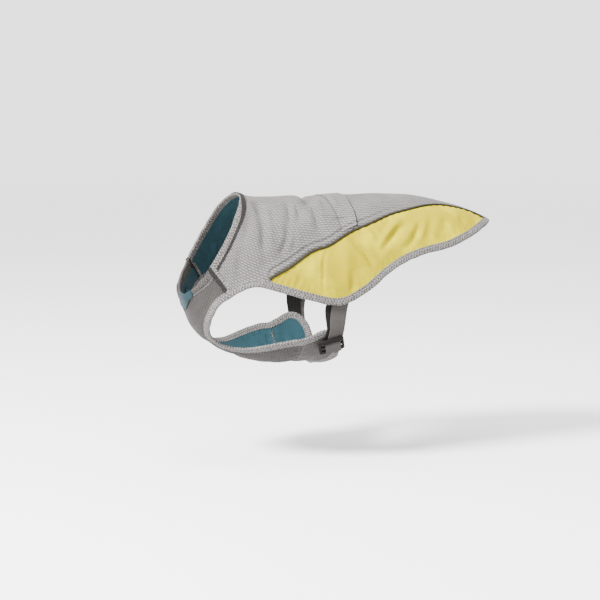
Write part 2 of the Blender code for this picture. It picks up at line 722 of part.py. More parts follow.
def block(name, size, corner):
    """Mesh of a block with rounded upright edges, sizes in millimetres."""
    mesh = bmesh.new()
    bmesh.ops.create_cube(mesh, size=1.0)
    bmesh.ops.scale(mesh, vec=Vector(size) * MM, verts=mesh.verts[:])
    upright = [
        edge for edge in mesh.edges
        if abs(edge.verts[0].co.z - edge.verts[1].co.z) > size[2] * MM / 2
    ]
    bmesh.ops.bevel(
        mesh, geom=upright, offset=corner * MM, offset_type="OFFSET",
        segments=CORNER_SEGMENTS, profile=0.5, affect="EDGES",
    )
    data = bpy.data.meshes.new(name)
    mesh.to_mesh(data)
    mesh.free()
    return data


def main():
    """Builds the vest."""
    clear_scene()
    vest = Vest()
    vest.build_back()
    vest.build_trims()
    vest.build_chest()
    vest.build_straps()


main()
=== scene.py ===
"""Looks of the dog cooling vest: cloth shells, bindings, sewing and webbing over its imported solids.

The cloth follows one smooth skin, a fan of rounded sections from the neck to the tail. A place on
the skin is (t, phi): t counts the sections from 0 at the neck to 10 at the tail, and phi is the
angle in degrees round a section, 0 along the spine and 180 along the belly. Positive phi is the
left side, at -Y. Lengths are in millimetres, and MM turns them to metres.
"""

from __future__ import annotations

import logging
import math
from collections.abc import Callable
from dataclasses import dataclass, field
from enum import Enum
from types import SimpleNamespace

import bpy
import numpy as np
from mathutils import Matrix, Vector


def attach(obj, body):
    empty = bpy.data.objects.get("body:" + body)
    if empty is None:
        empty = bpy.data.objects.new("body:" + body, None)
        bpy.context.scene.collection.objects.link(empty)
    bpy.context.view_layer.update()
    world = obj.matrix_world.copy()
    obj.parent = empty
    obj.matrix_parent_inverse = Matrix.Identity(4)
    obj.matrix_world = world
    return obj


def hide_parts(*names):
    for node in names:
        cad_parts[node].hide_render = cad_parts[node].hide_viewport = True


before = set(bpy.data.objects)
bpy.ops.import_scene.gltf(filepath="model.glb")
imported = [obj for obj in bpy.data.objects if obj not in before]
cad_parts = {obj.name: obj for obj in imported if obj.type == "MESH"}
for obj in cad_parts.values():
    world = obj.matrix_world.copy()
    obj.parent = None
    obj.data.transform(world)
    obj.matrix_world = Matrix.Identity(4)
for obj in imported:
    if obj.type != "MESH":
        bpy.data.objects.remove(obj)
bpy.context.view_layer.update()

LOG = logging.getLogger("dog_cooling_vest")
Array = np.ndarray
Piece = bpy.types.Object
Socket = bpy.types.NodeSocket
MM = 0.001
BODY = "root"

# Sizes that the cloth shares with its solids
WALL = 2.0
GAP = 0.3
HEM_WIDTH = 9.0
NECK_TRIM_WIDTH = 8.0
PIPING_RADIUS = 1.2
TAPE_WIDTH = 4.6
SHOULDER_TRIM_WIDTH = 4.0
WEBBING_THICKNESS = 1.2
LOOP_WIDTH = 19.0
# How far a panel runs on under its binding, and how near the piping's middle line it comes
TUCK = 3.2
LEAST_GAP = 0.2
# How many steps a smooth line takes between two rows of its table
TABLE_STEPS = 24
# Edges sharper than this, in degrees, stay sharp on shells and on closed strips
SHELL_ANGLE = 50.0
STRIP_ANGLE = 60.0
# Steps in which a line's nearest place is sought, and how many points are measured at once
FINE_STEPS = 420
CHUNK = 4000


class Fold(Enum):
    """How a fold's section falls away to its sides."""

    FORM = "form"
    SOFT = "soft"
    CRISP = "crisp"


@dataclass(frozen=True)
class Crease:
    """A fold along a line of places on the skin; a trough has a negative height."""

    places: tuple[tuple[float, float], ...]
    height: float
    reach: float
    fold: Fold

    def section(self, ratio: Array) -> Array:
        """Height at a distance from the line.

        Args:
            ratio: distance from the fold's line, as a share of its reach.

        Returns:
            Heights in millimetres.
        """
        if self.fold is Fold.FORM:
            return self.height * np.exp(-(ratio**2))
        if self.fold is Fold.CRISP:
            return self.height * (np.exp(-1.9 * ratio) - 0.22 * np.exp(-((ratio - 2.1) ** 2)))
        return self.height * (np.exp(-(ratio**2)) - 0.32 * np.exp(-((ratio - 1.9) ** 2) / 0.7))

    def taper(self, share: Array) -> Array:
        """How much of the height is left at a share of the fold's length."""
        if self.fold is Fold.FORM:
            return np.ones_like(share)
        return np.sin(np.pi * np.clip(0.08 + 0.84 * share, 0.0, 1.0)) ** 0.7


def folds(kind: Fold, *rows: tuple[float, ...]) -> tuple[Crease, ...]:
    """Folds of one kind, each from a height, a reach, and then t and phi of its places in turn."""
    return tuple(Crease(tuple(zip(row[2::2], row[3::2])), row[0], row[1], kind) for row in rows)


# Sections of the skin: x and z of the top, x and z of the bottom, half width, narrowing of the top
SECTIONS = {
    "neck": (-30.0, 5.2, -100.0, -112.0, 60.0, 0.00),
    "collar": (-12.0, 1.0, -93.0, -137.0, 69.0, 0.03),
    "shoulder": (10.0, 0.0, -80.0, -159.5, 78.0, 0.06),
    "armpit": (38.0, 1.0, -52.0, -180.0, 84.0, 0.08),
    "ribs": (72.0, 0.8, -5.0, -196.0, 88.0, 0.08),
    "barrel": (110.0, 0.6, 55.0, -196.0, 89.0, 0.06),
    "waist": (152.0, 0.8, 120.0, -184.0, 86.0, 0.04),
    "loin": (195.0, -3.0, 185.0, -168.0, 81.0, 0.02),
    "croup": (235.0, -12.5, 240.0, -155.0, 74.0, 0.00),
    "rump": (268.0, -24.0, 290.0, -145.0, 62.0, 0.00),
    "tail": (290.0, -37.0, 322.0, -135.0, 50.0, 0.00),
}
ROUNDNESS = 2.25
WITHERS_T = 1.6

# Largest folds, which the solids have too
FORM_FOLDS = folds(
    Fold.FORM,
    (-6.0, 7.5, 3.5, -15.0, 3.46, 15.0), (-2.0, 6.0, 3.28, 17.0, 3.04, 42.6),
    (-2.2, 6.0, 3.44, 20.0, 3.8, 50.0), (-2.2, 6.0, 3.3, -18.0, 3.0, -46.0),
    (-1.8, 6.0, 3.48, -22.0, 3.72, -44.0), (-2.4, 8.0, 1.09, 27.4, 2.42, 81.8),
    (-2.6, 9.0, 1.2, -34.0, 2.35, -76.0), (-1.6, 6.5, 2.59, 26.4, 2.83, 71.3),
    (-1.8, 6.5, 2.7, -22.0, 2.9, -62.0), (-1.4, 9.0, 4.95, 60.0, 5.4, 82.0),
    (-1.5, 9.0, 5.2, -58.0, 5.45, -84.0), (-1.2, 7.0, 0.73, 120.9, 0.62, 156.0),
    (-1.3, 7.0, 0.9, -116.0, 0.66, -150.0), (-1.2, 6.0, 4.55, 140.0, 4.6, 220.0),
    (4.5, 9.0, 5.32, 152.0, 5.12, 180.0), (4.5, 9.0, 5.12, 184.0, 5.32, 208.0),
)

# Finer folds of the left side, as the photo shows them
LEFT_FOLDS = folds(
    Fold.SOFT,
    (-2.8, 4.2, 1.08, 25.4, 1.26, 35.6, 1.45, 42.9), (-2.2, 4.0, 1.57, 47.0, 1.85, 62.0, 2.07, 71.7),
    (1.5, 4.5, 1.37, 30.5, 1.68, 44.9, 2.11, 61.4, 2.47, 75.6),
    (-1.8, 3.2, 2.71, 50.9, 2.85, 61.1, 2.83, 73.4), (1.5, 3.2, 3.66, 14.0, 3.72, 22.0, 3.8, 30.0),
    (1.1, 3.5, 4.22, 8.0, 4.24, 18.0, 4.3, 27.0), (-1.3, 3.4, 2.94, 52.9, 3.09, 60.9, 3.18, 69.0),
    (-1.2, 4.2, 0.67, 40.7, 0.81, 57.3, 0.98, 71.9), (-1.3, 4.0, 1.05, 82.4, 1.47, 92.3, 1.87, 99.2),
    (-0.97, 5.0, 5.2, 12.0, 5.45, 22.0, 5.6, 30.0), (-0.86, 5.5, 6.6, 6.0, 6.75, 14.0, 7.0, 20.0),
) + folds(
    Fold.CRISP,
    (-2.4, 3.2, 2.57, 24.4, 2.65, 34.6, 2.75, 46.8), (-2.2, 3.2, 2.9, 24.4, 2.97, 31.5, 3.09, 39.6),
    (-2.2, 3.5, 3.48, 24.0, 3.58, 35.0, 3.75, 48.5), (-1.6, 3.0, 3.28, 18.0, 3.34, 27.0, 3.42, 36.3),
)

# Finer folds of the right side, like those of the left but not their mirror image
RIGHT_FOLDS = folds(
    Fold.SOFT,
    (-2.6, 4.4, 1.15, -28.0, 1.42, -38.0, 1.62, -47.0), (-1.9, 4.2, 1.7, -50.0, 1.98, -64.0, 2.3, -76.0),
    (1.3, 4.8, 1.55, -34.0, 1.95, -50.0, 2.3, -66.0), (-1.8, 3.4, 2.84, -48.0, 2.92, -58.0, 3.0, -66.0),
    (1.3, 3.4, 3.72, -12.0, 3.8, -24.0), (1.1, 3.5, 4.3, -12.0, 4.26, -24.0),
    (-1.3, 4.5, 0.8, -44.0, 0.96, -60.0, 1.2, -74.0), (-1.3, 4.2, 1.3, -82.0, 1.7, -92.0),
    (-0.97, 5.0, 5.5, -14.0, 5.7, -24.0), (-0.86, 5.0, 7.0, -8.0, 7.2, -15.0),
) + folds(
    Fold.CRISP,
    (-2.0, 3.5, 2.66, -20.0, 2.74, -32.0, 2.84, -42.0),
    (-1.9, 3.5, 3.02, -22.0, 3.06, -34.0, 3.02, -44.0), (-2.0, 3.6, 3.5, -20.0, 3.58, -32.0, 3.72, -44.0),
)

# Folds of the chest piece, on both halves
CHEST_FOLDS = folds(
    Fold.SOFT,
    (-1.0, 5.0, 0.88, 118.5, 1.11, 132.8, 1.22, 150.9),
    (-1.0, 5.0, 1.25, -114.0, 1.35, -126.0, 1.3, -136.0),
    (-0.91, 6.0, 1.85, 150.0, 1.6, 168.0, 1.65, 184.0),
    (-0.91, 5.5, 2.5, 160.0, 2.62, 172.0, 2.55, 188.0), (-0.91, 5.5, 3.4, 168.0, 3.3, 182.0, 3.42, 196.0),
    (-0.91, 4.5, 4.05, 146.0, 4.19, 157.0, 4.12, 172.0),
    (-0.91, 4.5, 4.08, 212.0, 4.22, 200.0, 4.18, 190.0),
    (-1.2, 4.0, 4.75, 140.0, 4.92, 150.0, 4.98, 162.0), (-1.2, 4.0, 4.78, 220.0, 4.9, 208.0, 4.96, 198.0),
) + folds(
    Fold.CRISP,
    (-1.2, 3.3, 0.5, 113.9, 0.4, 123.1, 0.32, 133.3, 0.25, 144.9, 0.26, 160.3),
    (-1.1, 3.3, 0.72, -109.0, 0.6, -118.0, 0.5, -128.0, 0.38, -140.0),
)

# Creases pressed into the yellow side panels
SIDE_FOLDS_LEFT = folds(
    Fold.SOFT,
    (-2.2, 4.0, 4.8, 59.5, 5.12, 69.0, 5.43, 78.0), (-2.3, 3.4, 5.68, 69.5, 5.93, 59.5, 6.2, 51.0),
    (1.7, 3.6, 5.55, 66.0, 5.78, 56.0, 6.02, 47.0), (1.6, 4.0, 6.0, 71.0, 6.22, 62.0, 6.42, 54.0),
    (-2.0, 3.4, 6.3, 72.0, 6.48, 62.0, 6.6, 52.0), (-1.4, 4.2, 6.75, 66.0, 6.86, 56.0, 6.95, 46.0),
    (-1.6, 3.4, 4.95, 84.0, 5.1, 92.0, 5.18, 97.0), (-1.6, 3.0, 5.3, 52.0, 5.48, 60.0),
    (1.6, 7.0, 4.55, 62.0, 4.75, 74.0, 4.9, 88.0), (-0.98, 3.0, 3.62, 84.5, 3.72, 90.0),
    (-0.98, 4.5, 7.3, 54.0, 7.4, 44.0), (-0.89, 4.0, 7.9, 48.0, 7.95, 38.0),
    (1.1, 5.0, 3.9, 74.0, 4.0, 84.0),
) + folds(
    Fold.CRISP,
    (-1.9, 1.9, 4.17, 66.5, 4.15, 73.5, 4.25, 84.0, 4.42, 95.5),
    (-1.7, 2.6, 5.1, 66.0, 5.34, 76.0, 5.5, 83.0),
)
SIDE_FOLDS_RIGHT = folds(
    Fold.SOFT,
    (-2.2, 4.2, 5.0, -56.0, 5.3, -68.0, 5.62, -78.0), (-2.2, 3.4, 5.8, -72.0, 6.02, -62.0, 6.3, -50.0),
    (1.7, 3.8, 5.66, -68.0, 5.88, -58.0, 6.12, -46.0), (-1.7, 3.6, 6.4, -71.0, 6.56, -60.0, 6.7, -50.0),
    (-1.4, 4.0, 6.95, -66.0, 7.05, -54.0, 7.12, -44.0), (-1.6, 3.6, 5.02, -86.0, 5.16, -96.0),
    (1.6, 6.5, 4.7, -62.0, 4.92, -76.0, 5.02, -90.0), (-0.98, 3.2, 3.7, -82.0, 3.8, -90.0),
    (-0.98, 4.5, 7.5, -56.0, 7.62, -44.0), (-0.78, 4.0, 8.1, -48.0, 8.12, -36.0),
) + folds(
    Fold.CRISP,
    (-1.7, 2.1, 4.4, -64.0, 4.36, -76.0, 4.44, -88.0, 4.56, -96.0),
)


def through(table: Array, places: Array) -> Array:
    """Reads a smooth curve through a table's rows.

    Args:
        table: one row for each point of the curve, with any further axes.
        places: fractional row numbers.

    Returns:
        The curve's values, one for each place.
    """
    table = np.asarray(table, float)
    places = np.asarray(places, float)
    last = len(table) - 1
    slopes = np.gradient(table, axis=0)
    inside = np.clip(places, 0.0, last)
    low = np.minimum(inside.astype(int), last - 1)
    f = (inside - low).reshape(inside.shape + (1,) * (table.ndim - 1))
    start, end = table[low], table[low + 1]
    curve = (
        start * (1 - 3 * f**2 + 2 * f**3)
        + end * (3 * f**2 - 2 * f**3)
        + slopes[low] * (f - 2 * f**2 + f**3)
        + slopes[low + 1] * (f**3 - f**2)
    )
    beyond = (places - inside).reshape(f.shape)
    return curve + beyond * np.where(beyond > 0, slopes[-1], slopes[0])


def unit(vectors: Array) -> Array:
    """The vectors at length 1."""
    return vectors / np.linalg.norm(vectors, axis=-1, keepdims=True)


def running(points: Array) -> Array:
    """Distance along a row of points at each of them."""
    return np.concatenate([[0.0], np.cumsum(np.linalg.norm(np.diff(points, axis=0), axis=1))])


def rounded(value: Array) -> Array:
    """Fills out a cosine or sine a little, which squares a section's shoulders."""
    return np.sign(value) * np.abs(value) ** (2 / ROUNDNESS)


@dataclass
class Skin:
    """The smooth skin that every cloth follows, with its folds."""

    sections: tuple[tuple[float, ...], ...] = tuple(SECTIONS.values())
    creases: tuple[Crease, ...] = FORM_FOLDS + LEFT_FOLDS + RIGHT_FOLDS + CHEST_FOLDS
    samples: int = 48
    chart_t: float = 2.5
    chart_steps: int = 721

    def __post_init__(self) -> None:
        """Prepares the tables that the other methods read."""
        self.table = np.array(self.sections)
        self.paths = [self.path(crease) for crease in self.creases]
        withers = self.points(np.array([WITHERS_T]), np.array([0.0]))
        height = self.relief(withers, FORM_FOLDS) - WALL
        self.origin = (withers + self.normals(np.array([WITHERS_T]), np.array([0.0])) * height[:, None])[0]
        angles = np.linspace(0.0, 360.0, self.chart_steps)
        self.ring_angles = angles
        self.ring_lengths = running(self.points(np.full(self.chart_steps, self.chart_t), angles))

    def points(self, t: Array, phi: Array) -> Array:
        """Points of the skin without folds, in millimetres."""
        t, phi = np.broadcast_arrays(np.asarray(t, float), np.asarray(phi, float))
        columns = np.moveaxis(through(self.table, t.ravel()).reshape(t.shape + (6,)), -1, 0)
        top_x, top_z, bottom_x, bottom_z, half_width, narrow = columns
        up = rounded(np.cos(np.radians(phi)))
        out = rounded(np.sin(np.radians(phi)))
        x = (top_x + bottom_x) / 2 + (top_x - bottom_x) / 2 * up
        z = (top_z + bottom_z) / 2 + (top_z - bottom_z) / 2 * up
        return np.stack([x, -half_width * out * (1 - narrow * up), z], -1)

    def slopes(self, t: Array, phi: Array, dt: float = 0.02, dphi: float = 0.5) -> tuple[Array, Array]:
        """How the skin's points move for a unit of t and for a degree of phi."""
        along = (self.points(t + dt, phi) - self.points(t - dt, phi)) / (2 * dt)
        around = (self.points(t, phi + dphi) - self.points(t, phi - dphi)) / (2 * dphi)
        return along, around

    def normals(self, t: Array, phi: Array) -> Array:
        """Unit normals of the skin, pointing out."""
        along, around = self.slopes(t, phi)
        return unit(np.cross(around, along))

    def path(self, crease: Crease) -> Array:
        """Points of the skin along a fold."""
        places = np.array(crease.places)
        fine = through(places, np.linspace(0, len(places) - 1, self.samples))
        return self.points(fine[:, 0], fine[:, 1])

    def relief(self, points: Array, creases: tuple[Crease, ...] | None = None) -> Array:
        """How far folds move points of the skin along its normals.

        Args:
            points: points of the skin, in millimetres.
            creases: the folds to use, all of the skin's own by default.

        Returns:
            Heights in millimetres.
        """
        paths = self.paths if creases is None else [self.path(crease) for crease in creases]
        chosen = self.creases if creases is None else creases
        flat = points.reshape(-1, 3)
        total = np.zeros(len(flat))
        for crease, path in zip(chosen, paths):
            margin = crease.reach * 3.4
            near = ((flat > path.min(0) - margin) & (flat < path.max(0) + margin)).all(1)
            if not near.any():
                continue
            away = np.linalg.norm(flat[near][:, None] - path, axis=-1)
            share = away.argmin(1) / (len(path) - 1)
            total[near] += crease.section(away.min(1) / crease.reach) * crease.taper(share)
        return total.reshape(points.shape[:-1])

    def place(self, t: Array, phi: Array, height: Array | float) -> Array:
        """Points at a height over the folded skin, in metres in the row's frame."""
        base = self.points(t, phi)
        lift = np.asarray(height, float) + self.relief(base)
        return (base + self.normals(t, phi) * lift[..., None] - self.origin) * MM

    def chart(self, t: Array, phi: Array, along_phi: float = 50.0) -> Array:
        """Flat coordinates of places, in metres, for patterns that follow the cloth.

        Args:
            t: places along the skin.
            phi: angles round it.
            along_phi: the angle at which lengths along the skin are true.

        Returns:
            One (u, v) for each place, u along the body and v round it.
        """
        fine = np.linspace(-1.0, 11.0, 481)
        u = np.interp(t, fine, running(self.points(fine, np.full(len(fine), along_phi))))
        v = np.sign(phi) * np.interp(np.abs(phi), self.ring_angles, self.ring_lengths)
        return np.stack([u, v], -1) * MM


SKIN = Skin()


def line_points(line: Array) -> Array:
    """Points of the unfolded skin on a line or net of places, in millimetres."""
    return SKIN.points(line[..., 0], line[..., 1])


def travelled(line: Array) -> Array:
    """Distance along a line on the skin at each of its points, in millimetres."""
    return running(line_points(line))


def at_distances(line: Array, wanted: Array) -> Array:
    """Places of a line at distances along it, in millimetres."""
    distance = travelled(line)
    return np.stack([np.interp(wanted, distance, line[:, k]) for k in range(2)], -1)


def resample(line: Array, steps: int) -> Array:
    """The line again, with evenly spaced points."""
    return at_distances(line, np.linspace(0, travelled(line)[-1], steps + 1))


def smooth_line(table: Array | tuple, steps: int) -> Array:
    """A smooth line through a table of (t, phi) rows, in evenly spaced points."""
    table = np.asarray(table, float)
    places = np.linspace(0, len(table) - 1, TABLE_STEPS * (len(table) - 1) + 1)
    return resample(through(table, places), steps)


def mirrored(line: Array) -> Array:
    """The line or net on the other side."""
    other = line.copy()
    other[..., 1] = -line[..., 1]
    return other


def on_side(line: Array, sign: float) -> Array:
    """A line or net of the left side, or its mirror image where sign is negative."""
    return line if sign > 0 else mirrored(line)


def shifted(line: Array, distance: float | Array, rounds: int = 4) -> Array:
    """The line moved sideways over the skin, to the side of normal cross direction.

    Args:
        line: places along the line.
        distance: how far, in millimetres, one value or one for each place.
        rounds: in how many steps the move is made.

    Returns:
        The moved places.
    """
    line = np.array(line, float)
    points = line_points(line)
    heading = unit(np.gradient(points, axis=0))
    far = np.broadcast_to(np.asarray(distance, float), len(line))[:, None]
    for _ in range(rounds):
        along, around = SKIN.slopes(line[:, 0], line[:, 1])
        normal = unit(np.cross(around, along))
        move = unit(np.cross(normal, heading)) * far / rounds
        aa, ab, bb = (along * along).sum(1), (along * around).sum(1), (around * around).sum(1)
        am, bm = (along * move).sum(1), (around * move).sum(1)
        size = aa * bb - ab * ab
        line[:, 0] += (bb * am - ab * bm) / size
        line[:, 1] += (aa * bm - ab * am) / size
    return line


def trimmed(line: Array, start: float = 0.0, end: float = 0.0) -> Array:
    """The line with its first and last points moved inwards along it, in millimetres."""
    line = np.array(line, float)
    line[0], line[-1] = at_distances(line, np.array([start, travelled(line)[-1] - end]))
    return line


def lengthened(line: Array | tuple, start: float = 0.0, end: float = 0.0) -> Array:
    """The line carried straight on past its ends by these lengths, in millimetres."""
    line = np.array(line, float)
    points = line_points(line)
    first = line[0] + (line[0] - line[1]) * start / np.linalg.norm(points[0] - points[1])
    last = line[-1] + (line[-1] - line[-2]) * end / np.linalg.norm(points[-1] - points[-2])
    return np.concatenate([[first], line[1:-1], [last]])


def nearest(line: Array, point: Array) -> float:
    """Distance along a line to its place nearest to a point, both on the skin."""
    fine = resample(line, TABLE_STEPS * len(line))
    away = np.linalg.norm(line_points(fine) - line_points(point), axis=1)
    return float(travelled(fine)[away.argmin()])


def at_columns(line: Array, columns: Array | tuple) -> Array:
    """Points of a line at shares of its length."""
    return at_distances(line, np.asarray(columns) * travelled(line)[-1])


def whole(line: Array, turn: float = 0.0) -> Array:
    """A line that ends on the middle plane, carried on over the right side."""
    other = mirrored(line)[::-1]
    other[:, 1] += turn
    return np.concatenate([line, other[1:]])


def joined(*lines: Array) -> Array:
    """Lines that meet, as one line without double points."""
    return np.concatenate([line if k == 0 else line[1:] for k, line in enumerate(lines)])


def middle_line(anchors: tuple, count: int, phi: float) -> Array:
    """Points of the middle plane, one for each row, read between anchor rows."""
    rows, values = zip(*anchors)
    return np.stack([np.interp(np.arange(count), rows, values), np.full(count, phi)], -1)


def patch(
    middle: Array, side: Array, first: Array, last: Array, columns: tuple | Array, fade: float = 1.0
) -> Array:
    """A net of places between four lines.

    Args:
        middle: the line of the first column.
        side: the line of the last column.
        first: one point for each column of the first row.
        last: one point for each column of the last row.
        columns: shares from 0 at the middle line to 1 at the side line.
        fade: how fast the first row's shape dies away over the rows.

    Returns:
        The net, rows by columns by (t, phi).
    """
    u = np.linspace(0, 1, len(side))[:, None, None]
    v = np.asarray(columns)[None, :, None]
    ruled = (1 - v) * middle[:, None] + v * side[:, None]
    start = first[None] - ((1 - v) * middle[0] + v * side[0])
    end = last[None] - ((1 - v) * middle[-1] + v * side[-1])
    return ruled + (1 - u) ** fade * start + u * end


def both_sides(net: Array, turn: float = 0.0) -> Array:
    """A net that runs from the middle to the left, made whole with its mirror image."""
    other = mirrored(net)
    other[..., 1] += turn
    return np.concatenate([net[:, ::-1], other[:, 1:]], axis=1)


def finer(net: Array, row_factor: int, column_factor: int, breaks: tuple[int, ...] = ()) -> Array:
    """A net or line with smooth points added between its own.

    Args:
        net: places by rows, and by columns too where it is a net.
        row_factor: how many steps one row's step becomes.
        column_factor: the same across the columns.
        breaks: rows where the sides turn a corner, which stays sharp.

    Returns:
        The finer net or line.
    """
    stops = [0, *breaks, len(net) - 1]
    parts = []
    for first, last in zip(stops[:-1], stops[1:]):
        places = np.linspace(0, last - first, (last - first) * row_factor + 1)
        parts.append(through(net[first : last + 1], places))
    net = joined(*parts)
    if net.ndim == 3 and column_factor > 1:
        columns = np.linspace(0, net.shape[1] - 1, (net.shape[1] - 1) * column_factor + 1)
        net = np.swapaxes(through(np.swapaxes(net, 0, 1), columns), 0, 1)
    return net


@dataclass
class Pattern:
    """The vest's cut: the bound edge, the seams and the nets of its panels, as in the solids."""

    edge_rows: dict = field(
        default_factory=lambda: {
            "belly": ((5.12, 180.0), (5.22, 168.0), (5.31, 155.0), (5.31, 142.0), (5.22, 130.5)),
            "ear": ((5.03, 122.3), (4.84, 119.6), (4.64, 120.9), (4.50, 124.7)),
            "leg": (
                (4.36, 127.1), (4.10, 128.8), (3.76, 135.0), (3.45, 144.2), (3.16, 153.4), (2.78, 160.6),
                (2.38, 161.0), (2.00, 152.0), (1.72, 138.5), (1.60, 126.8), (1.65, 119.2),
            ),
            "arm": ((1.79, 112.9), (2.03, 104.6), (2.29, 98.8), (2.58, 96.1)),
            "foot": ((2.88, 95.4),),
            "side": (
                (3.12, 95.4), (3.58, 95.7), (4.12, 97.4), (4.65, 100.5), (4.88, 101.2), (5.10, 100.2),
                (5.50, 94.5), (5.90, 87.0), (6.35, 80.7), (6.85, 77.0), (7.40, 73.5), (8.05, 63.0),
                (8.50, 52.5), (8.92, 40.5),
            ),
            "tail": ((9.20, 31.5), (9.52, 18.0), (9.72, 0.0)),
        }
    )
    edge_steps: dict = field(
        default_factory=lambda: {
            "belly": 10, "ear": 4, "leg": 20, "arm": 5, "foot": 1, "side": 28, "tail": 6,
        }
    )
    piping_rows: tuple = (
        (2.97, 87.3), (3.28, 81.5), (3.70, 70.5), (3.95, 67.0), (4.23, 64.3), (4.73, 54.6), (5.28, 48.0),
        (5.83, 40.7), (6.43, 34.3), (7.08, 26.0), (7.60, 20.6), (8.15, 18.0), (8.55, 18.3), (8.80, 20.8),
        (8.94, 23.4),
    )
    shoulder_rows: tuple = ((0.40, 109.5), (0.66, 109.2), (1.02, 109.0), (1.40, 109.8))
    shoulder_steps: int = 4
    neck_back: tuple = ((0.0, 109.9), (-0.04, 78.0), (-0.12, 52.0), (-0.08, 28.0), (0.0, 0.0))
    neck_front: tuple = ((0.0, 110.2), (0.04, 118.4), (0.0, 135.0), (0.0, 158.0), (0.0, 180.0))
    chest_top: tuple = (
        (0.59, 112.4), (0.56, 119.6), (0.45, 129.8), (0.36, 143.8), (0.33, 162.4), (0.32, 180.0),
    )
    belly_seam: tuple = ((4.44, 133.4), (4.52, 146.0), (4.58, 160.0), (4.60, 180.0))
    back_columns: tuple = (0.0, 0.10, 0.20, 0.30, 0.40, 0.50, 0.60, 0.70, 0.80, 0.88, 0.95, 1.0)
    spine_rows: tuple = ((0, 0.42), (4, 1.25), (9, 2.30), (15, 3.22), (20, 3.93), (22, 4.62), (41, 9.32))
    band_rows: tuple = (20, 22)
    top_columns: int = 7
    chest_columns: int = 10
    shoulder_columns: int = 3
    chest_rows: tuple = ((0, 0.34), (4, 0.98), (8, 1.95), (12, 2.80), (20, 4.58))
    belly_rows: tuple = ((0, 4.60), (4, 4.95))
    chest_fade: float = 6.0
    lining_rows: tuple = (2, 19)
    piping_run: tuple = (6.5, 3.0)
    side_columns: int = 6

    def __post_init__(self) -> None:
        """Draws the lines that the pieces share."""
        self.edge = self.edge_lines()
        self.piping = smooth_line(self.piping_rows, self.edge_steps["side"] + 2)
        self.shoulder = smooth_line(self.shoulder_rows, self.shoulder_steps)
        neck = smooth_line(self.neck_back, len(self.neck_back) * TABLE_STEPS)[::-1]
        self.neck = whole(at_columns(neck, self.back_columns)[::-1])
        self.front = whole(smooth_line(self.neck_front, self.top_columns), 360.0)
        self.front_inner = whole(smooth_line(self.chest_top, self.top_columns), 360.0)
        edge = self.edge
        self.hem = trimmed(joined(edge["arm"], edge["foot"], edge["side"], edge["tail"]), start=GAP / 2)
        self.whole_hem = whole(self.hem)
        chest = trimmed(joined(edge["belly"], edge["ear"], edge["leg"]), end=GAP / 2)
        self.whole_chest = whole(chest[::-1], 360.0)
        self.whole_seam = whole(smooth_line(self.belly_seam, self.chest_columns), 360.0)

    def edge_lines(self) -> dict[str, Array]:
        """The bound edge by section, as it runs from the belly to the tail on the left side."""
        table = np.array([place for places in self.edge_rows.values() for place in places])
        before = np.array([[table[1, 0], 360.0 - table[1, 1]]])
        beyond = np.array([[table[-2, 0], -table[-2, 1]]])
        smooth = np.concatenate([before, table, beyond])
        lines = {}
        first = 0
        for name, steps in self.edge_steps.items():
            end = min(first + len(self.edge_rows[name]), len(table) - 1)
            places = np.linspace(first + 1, end + 1, TABLE_STEPS * (end - first) + 1)
            lines[name] = resample(through(smooth, places), steps)
            first = end
        return lines

    def inside_binding(self, names: tuple[str, ...], distance: float, belly: bool = False) -> Array:
        """The left half of a bound edge, moved inwards.

        Args:
            names: the edge's parts in order.
            distance: how far it moves, in millimetres.
            belly: whether it runs back from its last part and is whole over the belly, not the spine.

        Returns:
            The moved places.
        """
        line = joined(*(self.edge[name] for name in names))
        around = whole(line[::-1], 360.0) if belly else whole(line)
        return shifted(around, distance)[: (len(around) + 1) // 2]

    @staticmethod
    def piping_gap(tuck: float) -> float:
        """How far a panel's edge stands off the piping's middle line when it runs on by tuck."""
        gap = PIPING_RADIUS + GAP
        return gap - min(tuck, gap - LEAST_GAP)

    def back_net(self, tuck: float) -> tuple[Array, tuple[int, ...]]:
        """Net of the back panel.

        Args:
            tuck: how far it runs on under the bindings, in millimetres.

        Returns:
            The net and the rows where its sides turn a corner.
        """
        seam = TAPE_WIDTH / 2 + GAP + SHOULDER_TRIM_WIDTH + GAP - tuck
        hem = self.inside_binding(("arm", "foot", "side", "tail"), HEM_WIDTH + GAP - tuck)
        arm_end = self.edge_steps["arm"] + 1
        tail = hem[-self.edge_steps["tail"] :]
        shoulder = shifted(self.shoulder, seam)
        arm = trimmed(hem, start=nearest(hem[:arm_end], shoulder[-1]))[:arm_end]
        above_piping = shifted(self.piping, self.piping_gap(tuck))
        side = np.concatenate([shoulder[:-1], arm, above_piping, tail[:1]])
        spine = middle_line(self.spine_rows, len(side), 0.0)
        first = shifted(self.neck, -(NECK_TRIM_WIDTH + GAP - tuck))[: len(self.back_columns)][::-1]
        first[-1] = side[0]
        last = at_columns(tail[::-1], self.back_columns)
        spine[0], spine[-1] = first[0], last[0]
        corners = (len(shoulder) - 1, len(shoulder) - 1 + len(arm) - 1, len(side) - 2)
        return both_sides(patch(spine, side, first, last, self.back_columns)), corners

    def side_net(self, tuck: float) -> Array:
        """Net of the left side panel, which runs on under the hem binding by tuck."""
        hem = self.inside_binding(("arm", "foot", "side", "tail"), HEM_WIDTH + GAP - tuck)
        arm_end = self.edge_steps["arm"] + 1
        below = hem[arm_end : arm_end + self.edge_steps["side"] + 1]
        above = shifted(self.piping, -self.piping_gap(tuck))[1:-1]
        share = np.linspace(0, 1, self.side_columns + 1)[None, :, None]
        return above[:, None] * (1 - share) + below[:, None] * share

